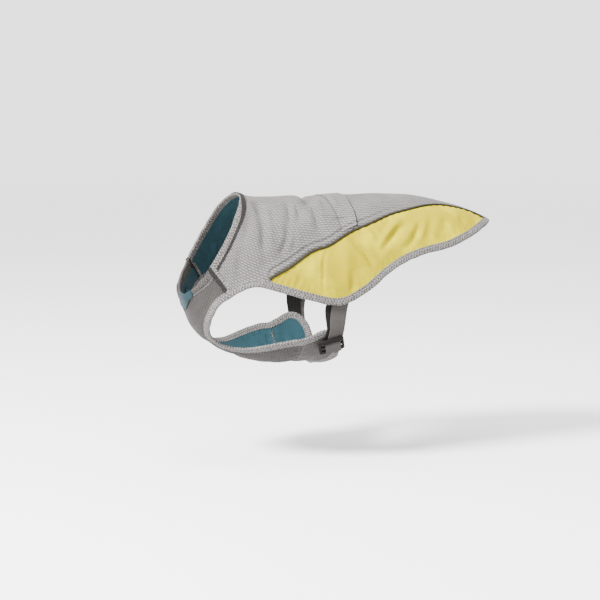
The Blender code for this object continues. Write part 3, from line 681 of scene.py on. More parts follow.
    def chest_nets(self, tuck: float) -> tuple[Array, Array]:
        """Nets of the chest panel and the belly panel, which run on under the bindings by tuck."""
        shares = np.linspace(0, 1, self.chest_columns + 1)
        inside = self.inside_binding(("belly", "ear", "leg"), -(HEM_WIDTH + GAP - tuck), belly=True)
        leg_end = self.edge_steps["leg"]
        ear_end = leg_end + self.edge_steps["ear"]
        under = min(tuck, 1.6)
        shoulder = shifted(self.shoulder, -(TAPE_WIDTH / 2 + GAP - under))
        leg = trimmed(inside, start=nearest(inside[:leg_end], shoulder[-1]))[: leg_end + 1]
        top = shifted(self.front_inner, GAP - tuck)[: self.top_columns + 1][::-1]
        first = np.concatenate([top, shoulder[-self.shoulder_columns : -1], leg[:1]])
        seam = whole(smooth_line(lengthened(self.belly_seam, start=tuck), self.chest_columns), 360.0)
        meet = GAP / 2 if tuck == 0.0 else 0.02
        last = shifted(seam, -meet)[: self.chest_columns + 1][::-1]
        leg[-1] = last[-1]
        middle = middle_line(self.chest_rows, len(leg), 180.0)
        middle[0], middle[-1] = first[0], last[0]
        chest = both_sides(patch(middle, leg, first, last, shares, self.chest_fade), 360.0)
        belly_first = shifted(seam, meet)[: self.chest_columns + 1][::-1]
        belly_side = inside[leg_end : ear_end + 1].copy()
        belly_side[0] = belly_first[-1]
        belly_last = inside[ear_end:][::-1]
        belly_middle = middle_line(self.belly_rows, len(belly_side), 180.0)
        belly_middle[0], belly_middle[-1] = belly_first[0], belly_last[0]
        belly = both_sides(patch(belly_middle, belly_side, belly_first, belly_last, shares), 360.0)
        return chest, belly


PATTERN = Pattern()


def away_from(line: Array, points: Array, width: float = 0.0) -> tuple[Array, Array]:
    """How far points lie from a line, and how far along it their nearest place is.

    Args:
        line: places along the line, or along a binding's free edge.
        points: points of the skin, in millimetres.
        width: the binding's width, which is taken off the distances.

    Returns:
        Distances beyond the line or binding, and along it, in millimetres.
    """
    fine = resample(line, FINE_STEPS)
    path, lengths = line_points(fine), travelled(fine)
    flat = points.reshape(-1, 3)
    away, along = np.empty(len(flat)), np.empty(len(flat))
    for k in range(0, len(flat), CHUNK):
        gap = np.linalg.norm(flat[k : k + CHUNK, None] - path, axis=-1)
        away[k : k + CHUNK] = gap.min(1)
        along[k : k + CHUNK] = lengths[gap.argmin(1)]
    return away.reshape(points.shape[:-1]) - width, along.reshape(points.shape[:-1])


def freed(beyond: Array, ease: float = 4.0) -> Array:
    """Share of its own relief that cloth has at a distance beyond a binding's stitched edge."""
    share = np.clip((beyond + 0.5) / ease, 0.0, 1.0)
    return share * share * (3 - 2 * share)


def beside(beyond: Array, reach: float) -> Array:
    """A share that dies away from a seam or binding over a reach in millimetres."""
    return np.exp(-((beyond / reach) ** 2))


def ripple(along: Array, spacing: float, seed: float) -> Array:
    """An uneven wave along a seam, between -1 and 1."""
    bend = 1.3 * np.sin(along * 0.071 + seed) + 0.8 * np.sin(along * 0.163 + 2.1 * seed)
    size = 0.62 + 0.38 * np.sin(along * 0.047 + 3.7 * seed)
    return size * np.cos(2 * np.pi * along / spacing + bend)


@dataclass(frozen=True)
class Gathers:
    """Small puckers beside a seam or binding, in millimetres."""

    height: float
    spacing: float
    seed: float
    reach: float

    def relief(self, away: Array, along: Array, sign: float = 1.0) -> Array:
        """Their height at distances from the seam and along it; each side has its own waves."""
        return self.height * ripple(along, self.spacing, self.seed * sign) * beside(away, self.reach)


def clean_selection() -> None:
    """Leaves edit mode and deselects everything, so that an operator acts on new work alone."""
    if bpy.context.object is not None and bpy.context.object.mode != "OBJECT":
        bpy.ops.object.mode_set(mode="OBJECT")
    bpy.ops.object.select_all(action="DESELECT")


def name_piece(name: str) -> Piece:
    """Names the active object and its mesh, and returns it."""
    piece = bpy.context.object
    piece.name = name
    piece.data.name = name
    return piece


def apply_modifier(piece: Piece, kind: str, **settings: object) -> None:
    """Adds a modifier with these settings and applies it."""
    modifier = piece.modifiers.new(kind.lower(), kind)
    for key, value in settings.items():
        setattr(modifier, key, value)
    bpy.context.view_layer.objects.active = piece
    bpy.ops.object.modifier_apply(modifier=modifier.name)


def edit_mesh(piece: Piece, *steps: tuple[Callable, dict]) -> None:
    """Runs mesh operators in edit mode on all of a piece.

    Args:
        piece: the piece to edit.
        steps: operators, each with its settings.
    """
    bpy.context.view_layer.objects.active = piece
    piece.select_set(True)
    bpy.ops.object.mode_set(mode="EDIT")
    for operator, settings in steps:
        bpy.ops.mesh.select_all(action="SELECT")
        operator(**settings)
    bpy.ops.object.mode_set(mode="OBJECT")


def grid_surface(name: str, points: Array, chart: Array) -> Piece:
    """A grid shaped onto a net of points.

    Args:
        name: the piece's name.
        points: rows by columns by (x, y, z), in metres.
        chart: rows by columns by (u, v), in metres.

    Returns:
        The new object, at the origin.
    """
    rows, columns = points.shape[:2]
    clean_selection()
    bpy.ops.mesh.primitive_grid_add(
        x_subdivisions=columns - 1, y_subdivisions=rows - 1, size=2.0, calc_uvs=True, location=(0, 0, 0)
    )
    piece = name_piece(name)
    mesh = piece.data
    flat = np.empty(len(mesh.vertices) * 3, np.float32)
    mesh.vertices.foreach_get("co", flat)
    flat = flat.reshape(-1, 3)
    column = np.rint((flat[:, 0] + 1) / 2 * (columns - 1)).astype(int)
    row = np.rint((flat[:, 1] + 1) / 2 * (rows - 1)).astype(int)
    mesh.vertices.foreach_set("co", points[row, column].astype(np.float32).ravel())
    corner = np.empty(len(mesh.loops), np.int32)
    mesh.loops.foreach_get("vertex_index", corner)
    layer = mesh.uv_layers[0]
    layer.name = "cloth"
    layer.data.foreach_set("uv", chart[row[corner], column[corner]].astype(np.float32).ravel())
    mesh.update()
    return piece


def face_out(piece: Piece, outward: Array) -> None:
    """Turns an open surface's faces over where they look against a direction.

    Args:
        piece: the open surface.
        outward: the way out at its first face's middle.
    """
    if piece.data.polygons[0].normal.dot(Vector(outward)) < 0:
        edit_mesh(piece, (bpy.ops.mesh.flip_normals, {}))


def cloth_shell(
    name: str, net: Array, height: Array | float = 0.0, thickness: float = WALL, along_phi: float = 50.0,
    extra: Array | float = 0.0, rim: int = 0,
) -> Piece:
    """A thin shell of cloth on a net of places.

    Args:
        name: the piece's name.
        net: rows by columns by (t, phi).
        height: height of the outer face over the skin, in millimetres.
        thickness: the shell's thickness, in millimetres.
        along_phi: the angle at which the cloth's flat lengths are true.
        extra: height added for this cloth's own creases.
        rim: 0 gives its cut edge the outer material and 1 the inner one.

    Returns:
        The new object, with its faces outwards.
    """
    t, phi = net[..., 0], net[..., 1]
    points = SKIN.place(t, phi, np.asarray(height, float) + extra)
    piece = grid_surface(name, points, SKIN.chart(t, phi, along_phi))
    middle = net[:2, :2].mean(axis=(0, 1))
    face_out(piece, SKIN.normals(middle[0], middle[1]))
    for _ in ("outer", "inner"):
        piece.data.materials.append(None)
    apply_modifier(
        piece, "SOLIDIFY", thickness=thickness * MM, offset=-1.0, use_even_offset=True,
        use_quality_normals=True, material_offset=1, material_offset_rim=rim,
    )
    smooth(piece, SHELL_ANGLE)
    return piece


def smooth(piece: Piece, angle: float) -> None:
    """Shades a piece smooth, with edges sharp past an angle in degrees."""
    clean_selection()
    piece.select_set(True)
    bpy.context.view_layer.objects.active = piece
    bpy.ops.object.shade_smooth_by_angle(angle=math.radians(angle))
    piece.select_set(False)


def closed_surface(name: str, points: Array, along: Array, around: Array) -> Piece:
    """A net whose last column meets its first, closed at its ends, smooth and with its faces outwards.

    Args:
        name: the piece's name.
        points: rows by columns by (x, y, z), in metres.
        along: flat coordinate of each row, in metres.
        around: flat coordinate of each column, in metres.

    Returns:
        The new object.
    """
    chart = np.stack(np.broadcast_arrays(along[:, None], around[None, :]), -1)
    piece = grid_surface(name, points, chart)
    edit_mesh(
        piece,
        (bpy.ops.mesh.remove_doubles, {"threshold": 1e-6}),
        (bpy.ops.mesh.fill_holes, {"sides": 0}),
        (bpy.ops.mesh.normals_make_consistent, {"inside": False}),
    )
    smooth(piece, STRIP_ANGLE)
    return piece


def closed_strip(
    name: str, first: Array, second: Array, profile: Array, base: Array | float = 0.0,
    swell: Array | float = 1.0,
) -> Piece:
    """A strip whose closed section runs between two lines on the skin.

    Args:
        name: the piece's name.
        first: places of the outer line.
        second: places of the inner line.
        profile: the section, as (share across, height in millimetres) in order round it.
        base: height added along the strip, one value or one for each row.
        swell: the section's height is multiplied by this, one value or one for each row.

    Returns:
        The new object, closed and with its faces outwards.
    """
    ring = np.concatenate([profile, profile[:1]])
    share = ring[None, :, 0, None]
    net = first[:, None] * (1 - share) + second[:, None] * share
    rows = np.ones((len(first), 1))
    heights = ring[None, :, 1] * (rows * np.reshape(swell, (-1, 1))) + rows * np.reshape(base, (-1, 1))
    points = SKIN.place(net[..., 0], net[..., 1], heights)
    width = np.linalg.norm(points[0, 0] - points[0, 1:], axis=-1).max()
    steps = np.hypot(np.diff(ring[:, 0]) * width, np.diff(ring[:, 1]) * MM)
    around = np.concatenate([[0.0], np.cumsum(steps)])
    return closed_surface(name, points, running(points.mean(axis=1)), around)


def binding_profile(crown: float = 0.95, thickness: float = 3.0) -> Array:
    """Section of a folded binding: a round fold at its free edge and a stitched lip at the other."""
    top = (
        (0.00, 0.28), (0.015, 0.52), (0.05, 0.76), (0.11, 0.92), (0.20, 1.00), (0.34, 1.03), (0.48, 1.02),
        (0.60, 0.96), (0.69, 0.84), (0.76, 0.68), (0.80, 0.66), (0.85, 0.80), (0.92, 0.85), (0.975, 0.72),
        (1.0, 0.45),
    )
    depth = thickness + crown
    upper = [(share, (height - 1.0) * depth / 2 + crown) for share, height in top]
    lower = [(share, crown - depth - ((height - 1.0) * depth / 2)) for share, height in top[::-1]]
    return np.array(upper + lower)


def cord_profile(radius: float, height: float, sides: int = 12) -> Array:
    """Section of a round cord, as shares across its width and heights."""
    angle = np.linspace(0, 2 * np.pi, sides, endpoint=False)
    return np.stack([0.5 + 0.5 * np.cos(angle), height + radius * np.sin(angle)], -1)


def webbing_profile(thickness: float = WEBBING_THICKNESS) -> Array:
    """Section of flat webbing with rounded edges, from the outer face down."""
    half = thickness / 2
    top = ((0.0, 0.0), (0.008, 0.62), (0.03, 0.92), (0.08, 1.0), (0.30, 0.97), (0.50, 0.98), (0.70, 0.97))
    top = top + ((0.92, 1.0), (0.97, 0.92), (0.992, 0.62), (1.0, 0.0))
    upper = [(share, height * half - half) for share, height in top]
    lower = [(share, -height * half - half) for share, height in top[-2:0:-1]]
    return np.array(upper + lower)


@dataclass(frozen=True)
class StitchKind:
    """One kind of stitch: how long, how far apart and how thick, in millimetres."""

    length: float = 2.7
    gap: float = 1.0
    radius: float = 0.28
    sink: float = 0.08

    def model(self) -> tuple[Array, list[list[int]]]:
        """One stitch along X, modelled once.

        Returns:
            Its points in millimetres and its faces.
        """
        clean_selection()
        bpy.ops.mesh.primitive_uv_sphere_add(segments=6, ring_count=5, radius=1.0, location=(0, 0, 0))
        ball = bpy.context.object
        upright = {"value": math.pi / 2, "orient_axis": "Y", "center_override": (0, 0, 0)}
        size = {"value": (self.length / 2, self.radius, self.radius)}
        edit_mesh(ball, (bpy.ops.transform.rotate, upright), (bpy.ops.transform.resize, size))
        points = np.array([vertex.co for vertex in ball.data.vertices])
        points[:, 2] -= (points[:, 0] / self.length) ** 2 * self.radius * 2.0
        faces = [list(polygon.vertices) for polygon in ball.data.polygons]
        bpy.data.objects.remove(ball, do_unlink=True)
        return points, faces


def stitch_row(line: Array, height: float, kind: StitchKind, base: float = 0.0) -> list[Array]:
    """Places of the stitches of one row.

    Args:
        line: places along the row.
        height: height of the cloth's face under the row, in millimetres.
        kind: the kind of stitch.
        base: height added to all of the row.

    Returns:
        One 4 by 4 matrix for each stitch, in metres.
    """
    pitch = kind.length + kind.gap
    count = max(int(travelled(line)[-1] / pitch), 2)
    fine = resample(line, count * 2)
    points = SKIN.place(fine[:, 0], fine[:, 1], height + base + kind.radius - kind.sink)
    normals = SKIN.normals(fine[:, 0], fine[:, 1])
    matrices = []
    for k in range(1, len(fine) - 1, 2):
        along = unit(points[k + 1] - points[k - 1])
        up = unit(normals[k] - along * (normals[k] @ along))
        matrix = np.identity(4)
        matrix[:3, 0], matrix[:3, 1], matrix[:3, 2] = along * MM, np.cross(up, along) * MM, up * MM
        matrix[:3, 3] = points[k]
        matrices.append(matrix)
    return matrices


def stitch_mesh(name: str, matrices: list[Array], kind: StitchKind) -> Piece:
    """All stitches of one thread as one joined mesh.

    Args:
        name: the piece's name.
        matrices: one matrix for each stitch.
        kind: the kind of stitch.

    Returns:
        The new object.
    """
    points, faces = kind.model()
    row = np.concatenate([points, np.ones((len(points), 1))], axis=1)
    every = np.concatenate([(row @ matrix.T)[:, :3] for matrix in matrices])
    shifted_faces = [[v + k * len(points) for v in face] for k in range(len(matrices)) for face in faces]
    mesh = bpy.data.meshes.new(name)
    mesh.from_pydata(every.tolist(), [], shifted_faces)
    mesh.shade_smooth()
    piece = bpy.data.objects.new(name, mesh)
    bpy.context.scene.collection.objects.link(piece)
    return piece


def dress(
    piece: Piece, slot: str, replaced: tuple[str, ...], *materials: bpy.types.Material
) -> Piece:
    """Gives a piece its materials, its slot, its body and the nodes that it stands for.

    Args:
        piece: the finished piece.
        slot: the record's material slot; not used.
        replaced: names of the solids that it replaces.
        materials: its materials, the outer one first.

    Returns:
        The piece.
    """
    slots = piece.data.materials
    for k, material in enumerate(materials):
        if k < len(slots):
            slots[k] = material
        else:
            slots.append(material)
    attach(piece, BODY)
    if replaced:
        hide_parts(*replaced)
    LOG.info("%s: %d faces", piece.name, len(piece.data.polygons))
    return piece


SPECKS_TO_CLOUDS = 26.0
WEAVE_SOCKETS = (("Vector", "Length", "Row"), ("Thread", "Height"))
TONE_SOCKETS = (("Vector", "Scale"), ("Clouds", "Specks"))


@dataclass(frozen=True)
class Finish:
    """Colours and shine of one material, colours in linear red, green and blue."""

    name: str
    light: tuple[float, float, float]
    dark: tuple[float, float, float]
    roughness: float
    sheen: float = 0.0
    specular: float = 0.12

    def mixed(self, pen: NodePen, share: Term) -> Term:
        """The colour from dark to light at a share."""
        return pen.mix(share, (*self.dark, 1.0), (*self.light, 1.0))


class Weave(Enum):
    """Which pattern a cloth's threads make."""

    KNIT = "knit_cells"
    TWILL = "tape_twill"
    PLAIN = "plain_weave"
    RIB = "webbing_ribs"
    MESH = "lining_mesh"
    FUZZ = "hook_fuzz"


class NodePen:
    """Adds and links the nodes of one node tree."""

    def __init__(self, tree: bpy.types.NodeTree) -> None:
        """Keeps the tree that the other methods draw in."""
        self.tree = tree

    def add(self, kind: str, inputs: dict | None = None, **settings: object) -> bpy.types.Node:
        """Adds a node of a kind with these inputs and settings."""
        node = self.tree.nodes.new(kind)
        for key, value in settings.items():
            setattr(node, key, value)
        for key, value in (inputs or {}).items():
            self.feed(node.inputs[key], value)
        return node

    def feed(self, socket: Socket, value: object) -> None:
        """Links an output to a socket, or sets the socket's own value."""
        if isinstance(value, Term):
            value = value.socket
        if isinstance(value, Socket):
            self.tree.links.new(value, socket)
        else:
            socket.default_value = value

    def math(self, operation: str, first: object, second: object = 0.0) -> Term:
        """The result of a math operation on two values or outputs."""
        return Term(self, self.add("ShaderNodeMath", {0: first, 1: second}, operation=operation).outputs[0])

    def mix(self, factor: object, first: object, second: object, blend: str = "MIX") -> Term:
        """Two colours mixed by a factor."""
        inputs = {0: factor, 6: first, 7: second}
        return Term(self, self.add("ShaderNodeMix", inputs, data_type="RGBA", blend_type=blend).outputs[2])

    def ramp(self, value: object, low: float, high: float) -> Term:
        """A value from 0 at low to 1 at high, eased at both ends."""
        inputs = {"Value": value, "From Min": low, "From Max": high}
        node = self.add("ShaderNodeMapRange", inputs, interpolation_type="SMOOTHSTEP", clamp=True)
        return Term(self, node.outputs["Result"])

    def noise(self, vector: object, scale: object, detail: float = 2.0) -> Term:
        """A noise value between 0 and 1."""
        node = self.add("ShaderNodeTexNoise", {"Vector": vector, "Scale": scale, "Detail": detail})
        return Term(self, node.outputs["Fac"])

    def turn(self, place: Term, pitch: object) -> Term:
        """A sine between 0 and 1 with one turn for each pitch of place."""
        return ((place / pitch * (2 * math.pi)).sine() + 1.0) * 0.5


def operation(name: str, swapped: bool = False) -> Callable:
    """A method of Term that adds a math node, with its two values swapped where asked."""

    def method(self: Term, other: object = 0.0) -> Term:
        """The result of the operation."""
        first, second = (other, self) if swapped else (self, other)
        return self.pen.math(name, first, second)

    return method


@dataclass(frozen=True)
class Term:
    """An output in a node tree; arithmetic with it adds the nodes that work it out."""

    pen: NodePen
    socket: Socket

    __add__ = operation("ADD")
    __sub__ = operation("SUBTRACT")
    __rsub__ = operation("SUBTRACT", swapped=True)
    __mul__ = operation("MULTIPLY")
    __truediv__ = operation("DIVIDE")
    __pow__ = operation("POWER")
    __mod__ = operation("MODULO")
    __abs__ = operation("ABSOLUTE")
    larger = operation("MAXIMUM")
    to_and_fro = operation("PINGPONG")
    floor = operation("FLOOR")
    fract = operation("FRACT")
    root = operation("SQRT")
    sine = operation("SINE")

    def clamped(self) -> Term:
        """The same result, held between 0 and 1."""
        self.socket.node.use_clamp = True
        return self


@dataclass
class Loom:
    """Draws the pattern of one node group from the group's inputs."""

    pen: NodePen
    vector: Term
    size: Term
    row: Term | None = None

    def __post_init__(self) -> None:
        """Splits the place into its parts along and across the pattern."""
        parts = self.pen.add("ShaderNodeSeparateXYZ", {0: self.vector})
        self.x, self.y = (Term(self.pen, parts.outputs[axis]) for axis in "XY")

    def cloth_tone(self) -> tuple[Term, Term]:
        """Uneven tone of worn cloth: broad clouds and fine specks, both at a scale."""
        clouds = self.pen.noise(self.vector, self.size, 3.0)
        specks = self.pen.noise(self.vector, self.size * SPECKS_TO_CLOUDS, 2.0)
        return self.pen.ramp(clouds, 0.25, 0.75), self.pen.ramp(specks, 0.3, 0.7)

    def knit_cells(self) -> tuple[Term, Term]:
        """Rows of raised cells, each row set off by half a cell, with a groove between rows."""
        sway = (self.pen.noise(self.vector, 260.0, 1.0) - 0.5) * 0.0016
        along, across = self.staggered(self.y + sway)
        thread = 1.0 - (abs(along) ** 2.0 * 2.3 + abs(across) ** 2.0 * 6.4)
        return self.pen.ramp(thread.clamped(), 0.12, 1.0), thread

    def tape_twill(self) -> tuple[Term, Term]:
        """Slanted ribs of a binding tape, broken up into flecks."""
        half = self.row * 0.5
        rib = self.pen.turn(self.x + self.y.to_and_fro(half) * 0.9, self.size)
        fleck = self.pen.ramp(self.pen.noise(self.vector, 330.0, 2.0), 0.36, 0.64)
        braid = rib * 0.70 + self.pen.turn(self.y, half) * 0.16
        return (braid + (fleck - 0.4) * 0.34).clamped(), rib * 0.7 + fleck * 0.4

    def plain_weave(self) -> tuple[Term, Term]:
        """Over and under threads of a thin woven cloth, with a thicker grid line now and then."""
        over = abs(self.pen.turn(self.x, self.size) - self.pen.turn(self.y, self.size))
        lines = [self.pen.ramp(self.pen.turn(axis, self.row), 0.965, 0.995) for axis in (self.x, self.y)]
        grid = lines[0].larger(lines[1])
        return grid, over * 0.35 + grid * 0.6

    def webbing_ribs(self) -> tuple[Term, Term]:
        """Cross ribs of flat webbing with lengthwise rows of threads."""
        rib = self.pen.turn(self.x + self.y.to_and_fro(self.row) * 0.8, self.size)
        both = rib * (self.pen.turn(self.y, self.row) * 0.5 + 0.5)
        return both, both

    def lining_mesh(self) -> tuple[Term, Term]:
        """Small round holes in staggered rows."""
        along, across = self.staggered(self.y)
        ring = self.pen.ramp((along**2.0 + across**2.0).root(), 0.20, 0.34)
        return ring, ring

    def hook_fuzz(self) -> tuple[Term, Term]:
        """Short stiff nap of a hook-and-loop tape."""
        nap = self.pen.ramp(self.pen.noise(self.vector, 900.0, 3.0), 0.35, 0.7)
        return nap, nap

    def staggered(self, place: Term) -> tuple[Term, Term]:
        """Where a place lies along and across its cell, from -0.5 to 0.5; odd rows are set off."""
        across = place / self.row
        odd = abs(across.floor()) % 2.0 * 0.5
        return (self.x / self.size + odd).fract() - 0.5, across.fract() - 0.5


class WeaveGroups:
    """Builds the node groups of the weaves and of cloth's uneven tone, each one once."""

    def __init__(self) -> None:
        """Starts with no group built."""
        self.built: dict[str, bpy.types.NodeTree] = {}

    def get(self, name: str) -> bpy.types.NodeTree:
        """The group that the Loom's method of this name draws, built at its first use."""
        if name in self.built:
            return self.built[name]
        group = self.built[name] = bpy.data.node_groups.new(name, "ShaderNodeTree")
        inputs, outputs = TONE_SOCKETS if name == "cloth_tone" else WEAVE_SOCKETS
        for label in inputs:
            kind = "NodeSocketVector" if label == "Vector" else "NodeSocketFloat"
            group.interface.new_socket(label, in_out="INPUT", socket_type=kind)
        for label in outputs:
            group.interface.new_socket(label, in_out="OUTPUT", socket_type="NodeSocketFloat")
        pen = NodePen(group)
        given, out = pen.add("NodeGroupInput"), pen.add("NodeGroupOutput")
        loom = Loom(pen, *(Term(pen, given.outputs[label]) for label in inputs))
        for label, result in zip(outputs, getattr(loom, name)()):
            pen.feed(out.inputs[label], result)
        return group

    def use(self, pen: NodePen, name: str, inputs: dict[str, object]) -> list[Term]:
        """Adds a group with these inputs to a tree, and returns its outputs."""
        node = pen.add("ShaderNodeGroup", inputs, node_tree=self.get(name))
        return [Term(pen, socket) for socket in node.outputs]


@dataclass(frozen=True)
class ClothMaterial:
    """A woven or knitted finish on a piece's flat coordinates."""

    finish: Finish
    weave: Weave
    length: float
    row: float
    relief: float = 0.35
    depth: float = 0.0004
    contrast: float = 1.0
    turned: float = 0.0
    tone_scale: float = 30.0
    clouds: float = 0.12
    blotch: float = 0.0
    speck: float = 0.22

    def make(self, groups: WeaveGroups) -> bpy.types.Material:
        """Builds the material.

        Args:
            groups: the node groups that the finishes share.

        Returns:
            The new material.
        """
        material, pen, shader = new_material(self.finish)
        chart = pen.add("ShaderNodeUVMap", uv_map="cloth").outputs[0]
        turned = (0.0, 0.0, math.radians(self.turned))
        place = pen.add("ShaderNodeMapping", {"Rotation": turned, "Vector": chart}).outputs[0]
        sizes = {"Vector": place, "Length": self.length, "Row": self.row}
        thread, height = groups.use(pen, self.weave.value, sizes)
        clouds, specks = surface_tone(pen, groups, self.tone_scale)
        thread = (thread * self.contrast).clamped() + (clouds - 0.5) * self.blotch
        thread = (thread + (specks - 0.5) * self.speck).clamped()
        shade = 1.0 - clouds * self.clouds
        grey = pen.add("ShaderNodeCombineColor", {0: shade, 1: shade, 2: shade}).outputs[0]
        colour = pen.mix(1.0, self.finish.mixed(pen, thread), grey, "MULTIPLY")
        coat(pen, shader, colour, clouds * 0.10 + (self.finish.roughness - 0.05))
        bump(pen, shader, height, self.relief, self.depth)
        return material


@dataclass(frozen=True)
class PlainMaterial:
    """A finish with a fine uneven surface on object coordinates, for thread and moulded plastic."""

    finish: Finish
    grain: float = 900.0
    relief: float = 0.15
    depth: float = 0.0002

    def make(self, groups: WeaveGroups) -> bpy.types.Material:
        """Builds the material from the node groups that the finishes share."""
        material, pen, shader = new_material(self.finish)
        clouds, specks = surface_tone(pen, groups, self.grain / SPECKS_TO_CLOUDS)
        colour = self.finish.mixed(pen, (clouds + specks) * 0.5)
        coat(pen, shader, colour, specks * 0.12 + (self.finish.roughness - 0.06))
        bump(pen, shader, specks, self.relief, self.depth)
        return material


def surface_tone(pen: NodePen, groups: WeaveGroups, scale: float) -> list[Term]:
    """Clouds and specks of cloth's uneven tone, on object coordinates."""
    place = pen.add("ShaderNodeTexCoord").outputs["Object"]
    return groups.use(pen, "cloth_tone", {"Vector": place, "Scale": scale})


def coat(pen: NodePen, shader: bpy.types.Node, colour: Term, roughness: Term) -> None:
    """Gives a shader its colour and roughness."""
    pen.feed(shader.inputs["Base Color"], colour)
    pen.feed(shader.inputs["Roughness"], roughness)


def bump(pen: NodePen, shader: bpy.types.Node, height: Term, strength: float, depth: float) -> None:
    """Gives a shader a surface relief from a height between 0 and 1."""
    node = pen.add("ShaderNodeBump", {"Strength": strength, "Distance": depth, "Height": height})
    pen.feed(shader.inputs["Normal"], node.outputs[0])


def new_material(finish: Finish) -> tuple[bpy.types.Material, NodePen, bpy.types.Node]:
    """Starts a material with its constant values.

    Args:
        finish: the colours and shine.

    Returns:
        The material, a pen for its tree, and its Principled shader.
    """
    material = bpy.data.materials.new(finish.name)
    material.use_nodes = True
    shader = material.node_tree.nodes["Principled BSDF"]
    shader.inputs["Sheen Weight"].default_value = finish.sheen
    shader.inputs["Sheen Roughness"].default_value = 0.45
    shader.inputs["Specular IOR Level"].default_value = finish.specular
    material.diffuse_color = (*finish.light, 1.0)
    return material, NodePen(material.node_tree), shader


def knit(finish: Finish, **more: float) -> ClothMaterial:
    """A knit of raised cells, in the back's own gauge unless more says otherwise."""
    sizes = {"length": 0.0046, "row": 0.0031, "relief": 0.40, "depth": 0.0005} | more
    return ClothMaterial(finish, Weave.KNIT, **sizes)


CHEST_GAUGE = {"length": 0.0044, "row": 0.0027, "turned": -20.0, "clouds": 0.22}
TAPE_GAUGE = (Weave.TWILL, 0.0036, 0.0058, 0.7, 0.0006)
WEBBING_GAUGE = (Weave.RIB, 0.0017, 0.0022, 0.7, 0.0004)
RECIPES = {
    "knit": knit(
        Finish("grey_mesh_knit", (0.132, 0.1255, 0.1215), (0.054, 0.051, 0.0493), 0.82, 0.03), clouds=0.18
    ),
    "band": knit(Finish("grey_band_knit", (0.138, 0.1314, 0.1273), (0.056, 0.0532, 0.0515), 0.82, 0.03)),
    "chest": knit(
        Finish("chest_knit", (0.043, 0.0389, 0.0368), (0.0186, 0.0166, 0.0157), 0.85, 0.02), **CHEST_GAUGE
    ),
    # The belly panel has the chest's knit in a lighter tone; the difference is painted light
    "belly": knit(
        Finish("belly_knit_lightened", (0.064, 0.058, 0.055), (0.029, 0.0262, 0.025), 0.85, 0.02), **CHEST_GAUGE
    ),
    "yellow": ClothMaterial(
        Finish("yellow_ripstop", (0.365, 0.316, 0.0), (0.238, 0.194, 0.0), 0.55, specular=0.03),
        Weave.PLAIN, 0.0007, 0.0052, 0.20, 0.0001, contrast=0.12, clouds=0.05, blotch=1.5,
    ),
    "tape": ClothMaterial(
        Finish("grey_binding", (0.160, 0.1515, 0.1455), (0.027, 0.025, 0.0235), 0.80, 0.03), *TAPE_GAUGE,
        clouds=0.18,
    ),
    "neck_tape": ClothMaterial(
        Finish("neck_binding", (0.130, 0.121, 0.115), (0.020, 0.018, 0.017), 0.82, 0.02), *TAPE_GAUGE
    ),
    # The front neck binding is the binding tape in a darker tone: painted shade at the front of the neck
    "front_tape": ClothMaterial(
        Finish("front_neck_binding_shaded", (0.060, 0.055, 0.052), (0.0135, 0.0124, 0.012), 0.82), *TAPE_GAUGE
    ),
    "piping": ClothMaterial(
        Finish("dark_piping", (0.028, 0.023, 0.009), (0.010, 0.0085, 0.0045), 0.7),
        Weave.RIB, 0.0014, 0.0016, 0.6, 0.0003,
    ),
    "hook": ClothMaterial(
        Finish("hook_tape", (0.022, 0.020, 0.0185), (0.0045, 0.0042, 0.0038), 0.92),
        Weave.FUZZ, 0.0009, 0.0012, 0.9, 0.0005,
    ),
    # Neck seam strip: a dark seam tape whose colour also paints the shade in the recess between the neck
    # binding and the panel
    "seam": ClothMaterial(
        Finish("neck_seam_tape_and_shade", (0.0150, 0.0128, 0.0120), (0.0050, 0.0045, 0.0042), 0.85),
        Weave.TWILL, 0.0026, 0.0030, 0.6, 0.0004,
    ),
    # Teal lining, darkened below its own colour to paint the shade inside the vest
    "lining": ClothMaterial(
        Finish("teal_lining_shaded", (0.010, 0.034, 0.043), (0.0028, 0.010, 0.0135), 0.78),
        Weave.MESH, 0.0022, 0.0019, 0.6, 0.0004,
    ),
    "webbing": ClothMaterial(
        Finish("grey_webbing", (0.056, 0.0505, 0.0475), (0.0245, 0.0217, 0.020), 0.72, 0.02), *WEBBING_GAUGE
    ),
    # The folded-back layer under each strap: the webbing coloured near black to paint its shade
    "black": ClothMaterial(
        Finish("webbing_painted_shade", (0.008, 0.0072, 0.0068), (0.0025, 0.0022, 0.0021), 0.85), *WEBBING_GAUGE
    ),
    "label": ClothMaterial(
        Finish("teal_label", (0.0062, 0.0265, 0.0340), (0.0040, 0.0180, 0.0240), 0.60),
        Weave.PLAIN, 0.0010, 0.0100, 0.4, 0.0002, contrast=0.2,
    ),
    "plastic": PlainMaterial(
        Finish("slider_plastic", (0.0050, 0.0032, 0.0028), (0.0024, 0.0017, 0.0015), 0.55, specular=0.06),
        700.0, 0.12,
    ),
    "grey_thread": PlainMaterial(
        Finish("grey_thread", (0.17, 0.163, 0.159), (0.095, 0.091, 0.088), 0.6), 1500.0, 0.3
    ),
    # Mid-grey of the cord along the band's front seam: painted shade of the seam's groove
    "seam_thread": PlainMaterial(
        Finish("seam_thread", (0.062, 0.059, 0.057), (0.036, 0.034, 0.033), 0.7), 1500.0, 0.3
    ),
    # Dark thread of the band's tacks, also used for the painted shadow line under the band's rear edge
    "dark_thread": PlainMaterial(
        Finish("dark_thread", (0.015, 0.0135, 0.013), (0.006, 0.0055, 0.005), 0.7), 1500.0, 0.3
    ),
}


class Wardrobe(SimpleNamespace):
    """All of the vest's materials, each under its name in the recipes."""

    def __init__(self) -> None:
        """Builds each material once."""
        groups = WeaveGroups()
        super().__init__(**{name: recipe.make(groups) for name, recipe in RECIPES.items()})


SIDES = (("left", 1.0), ("right", -1.0))


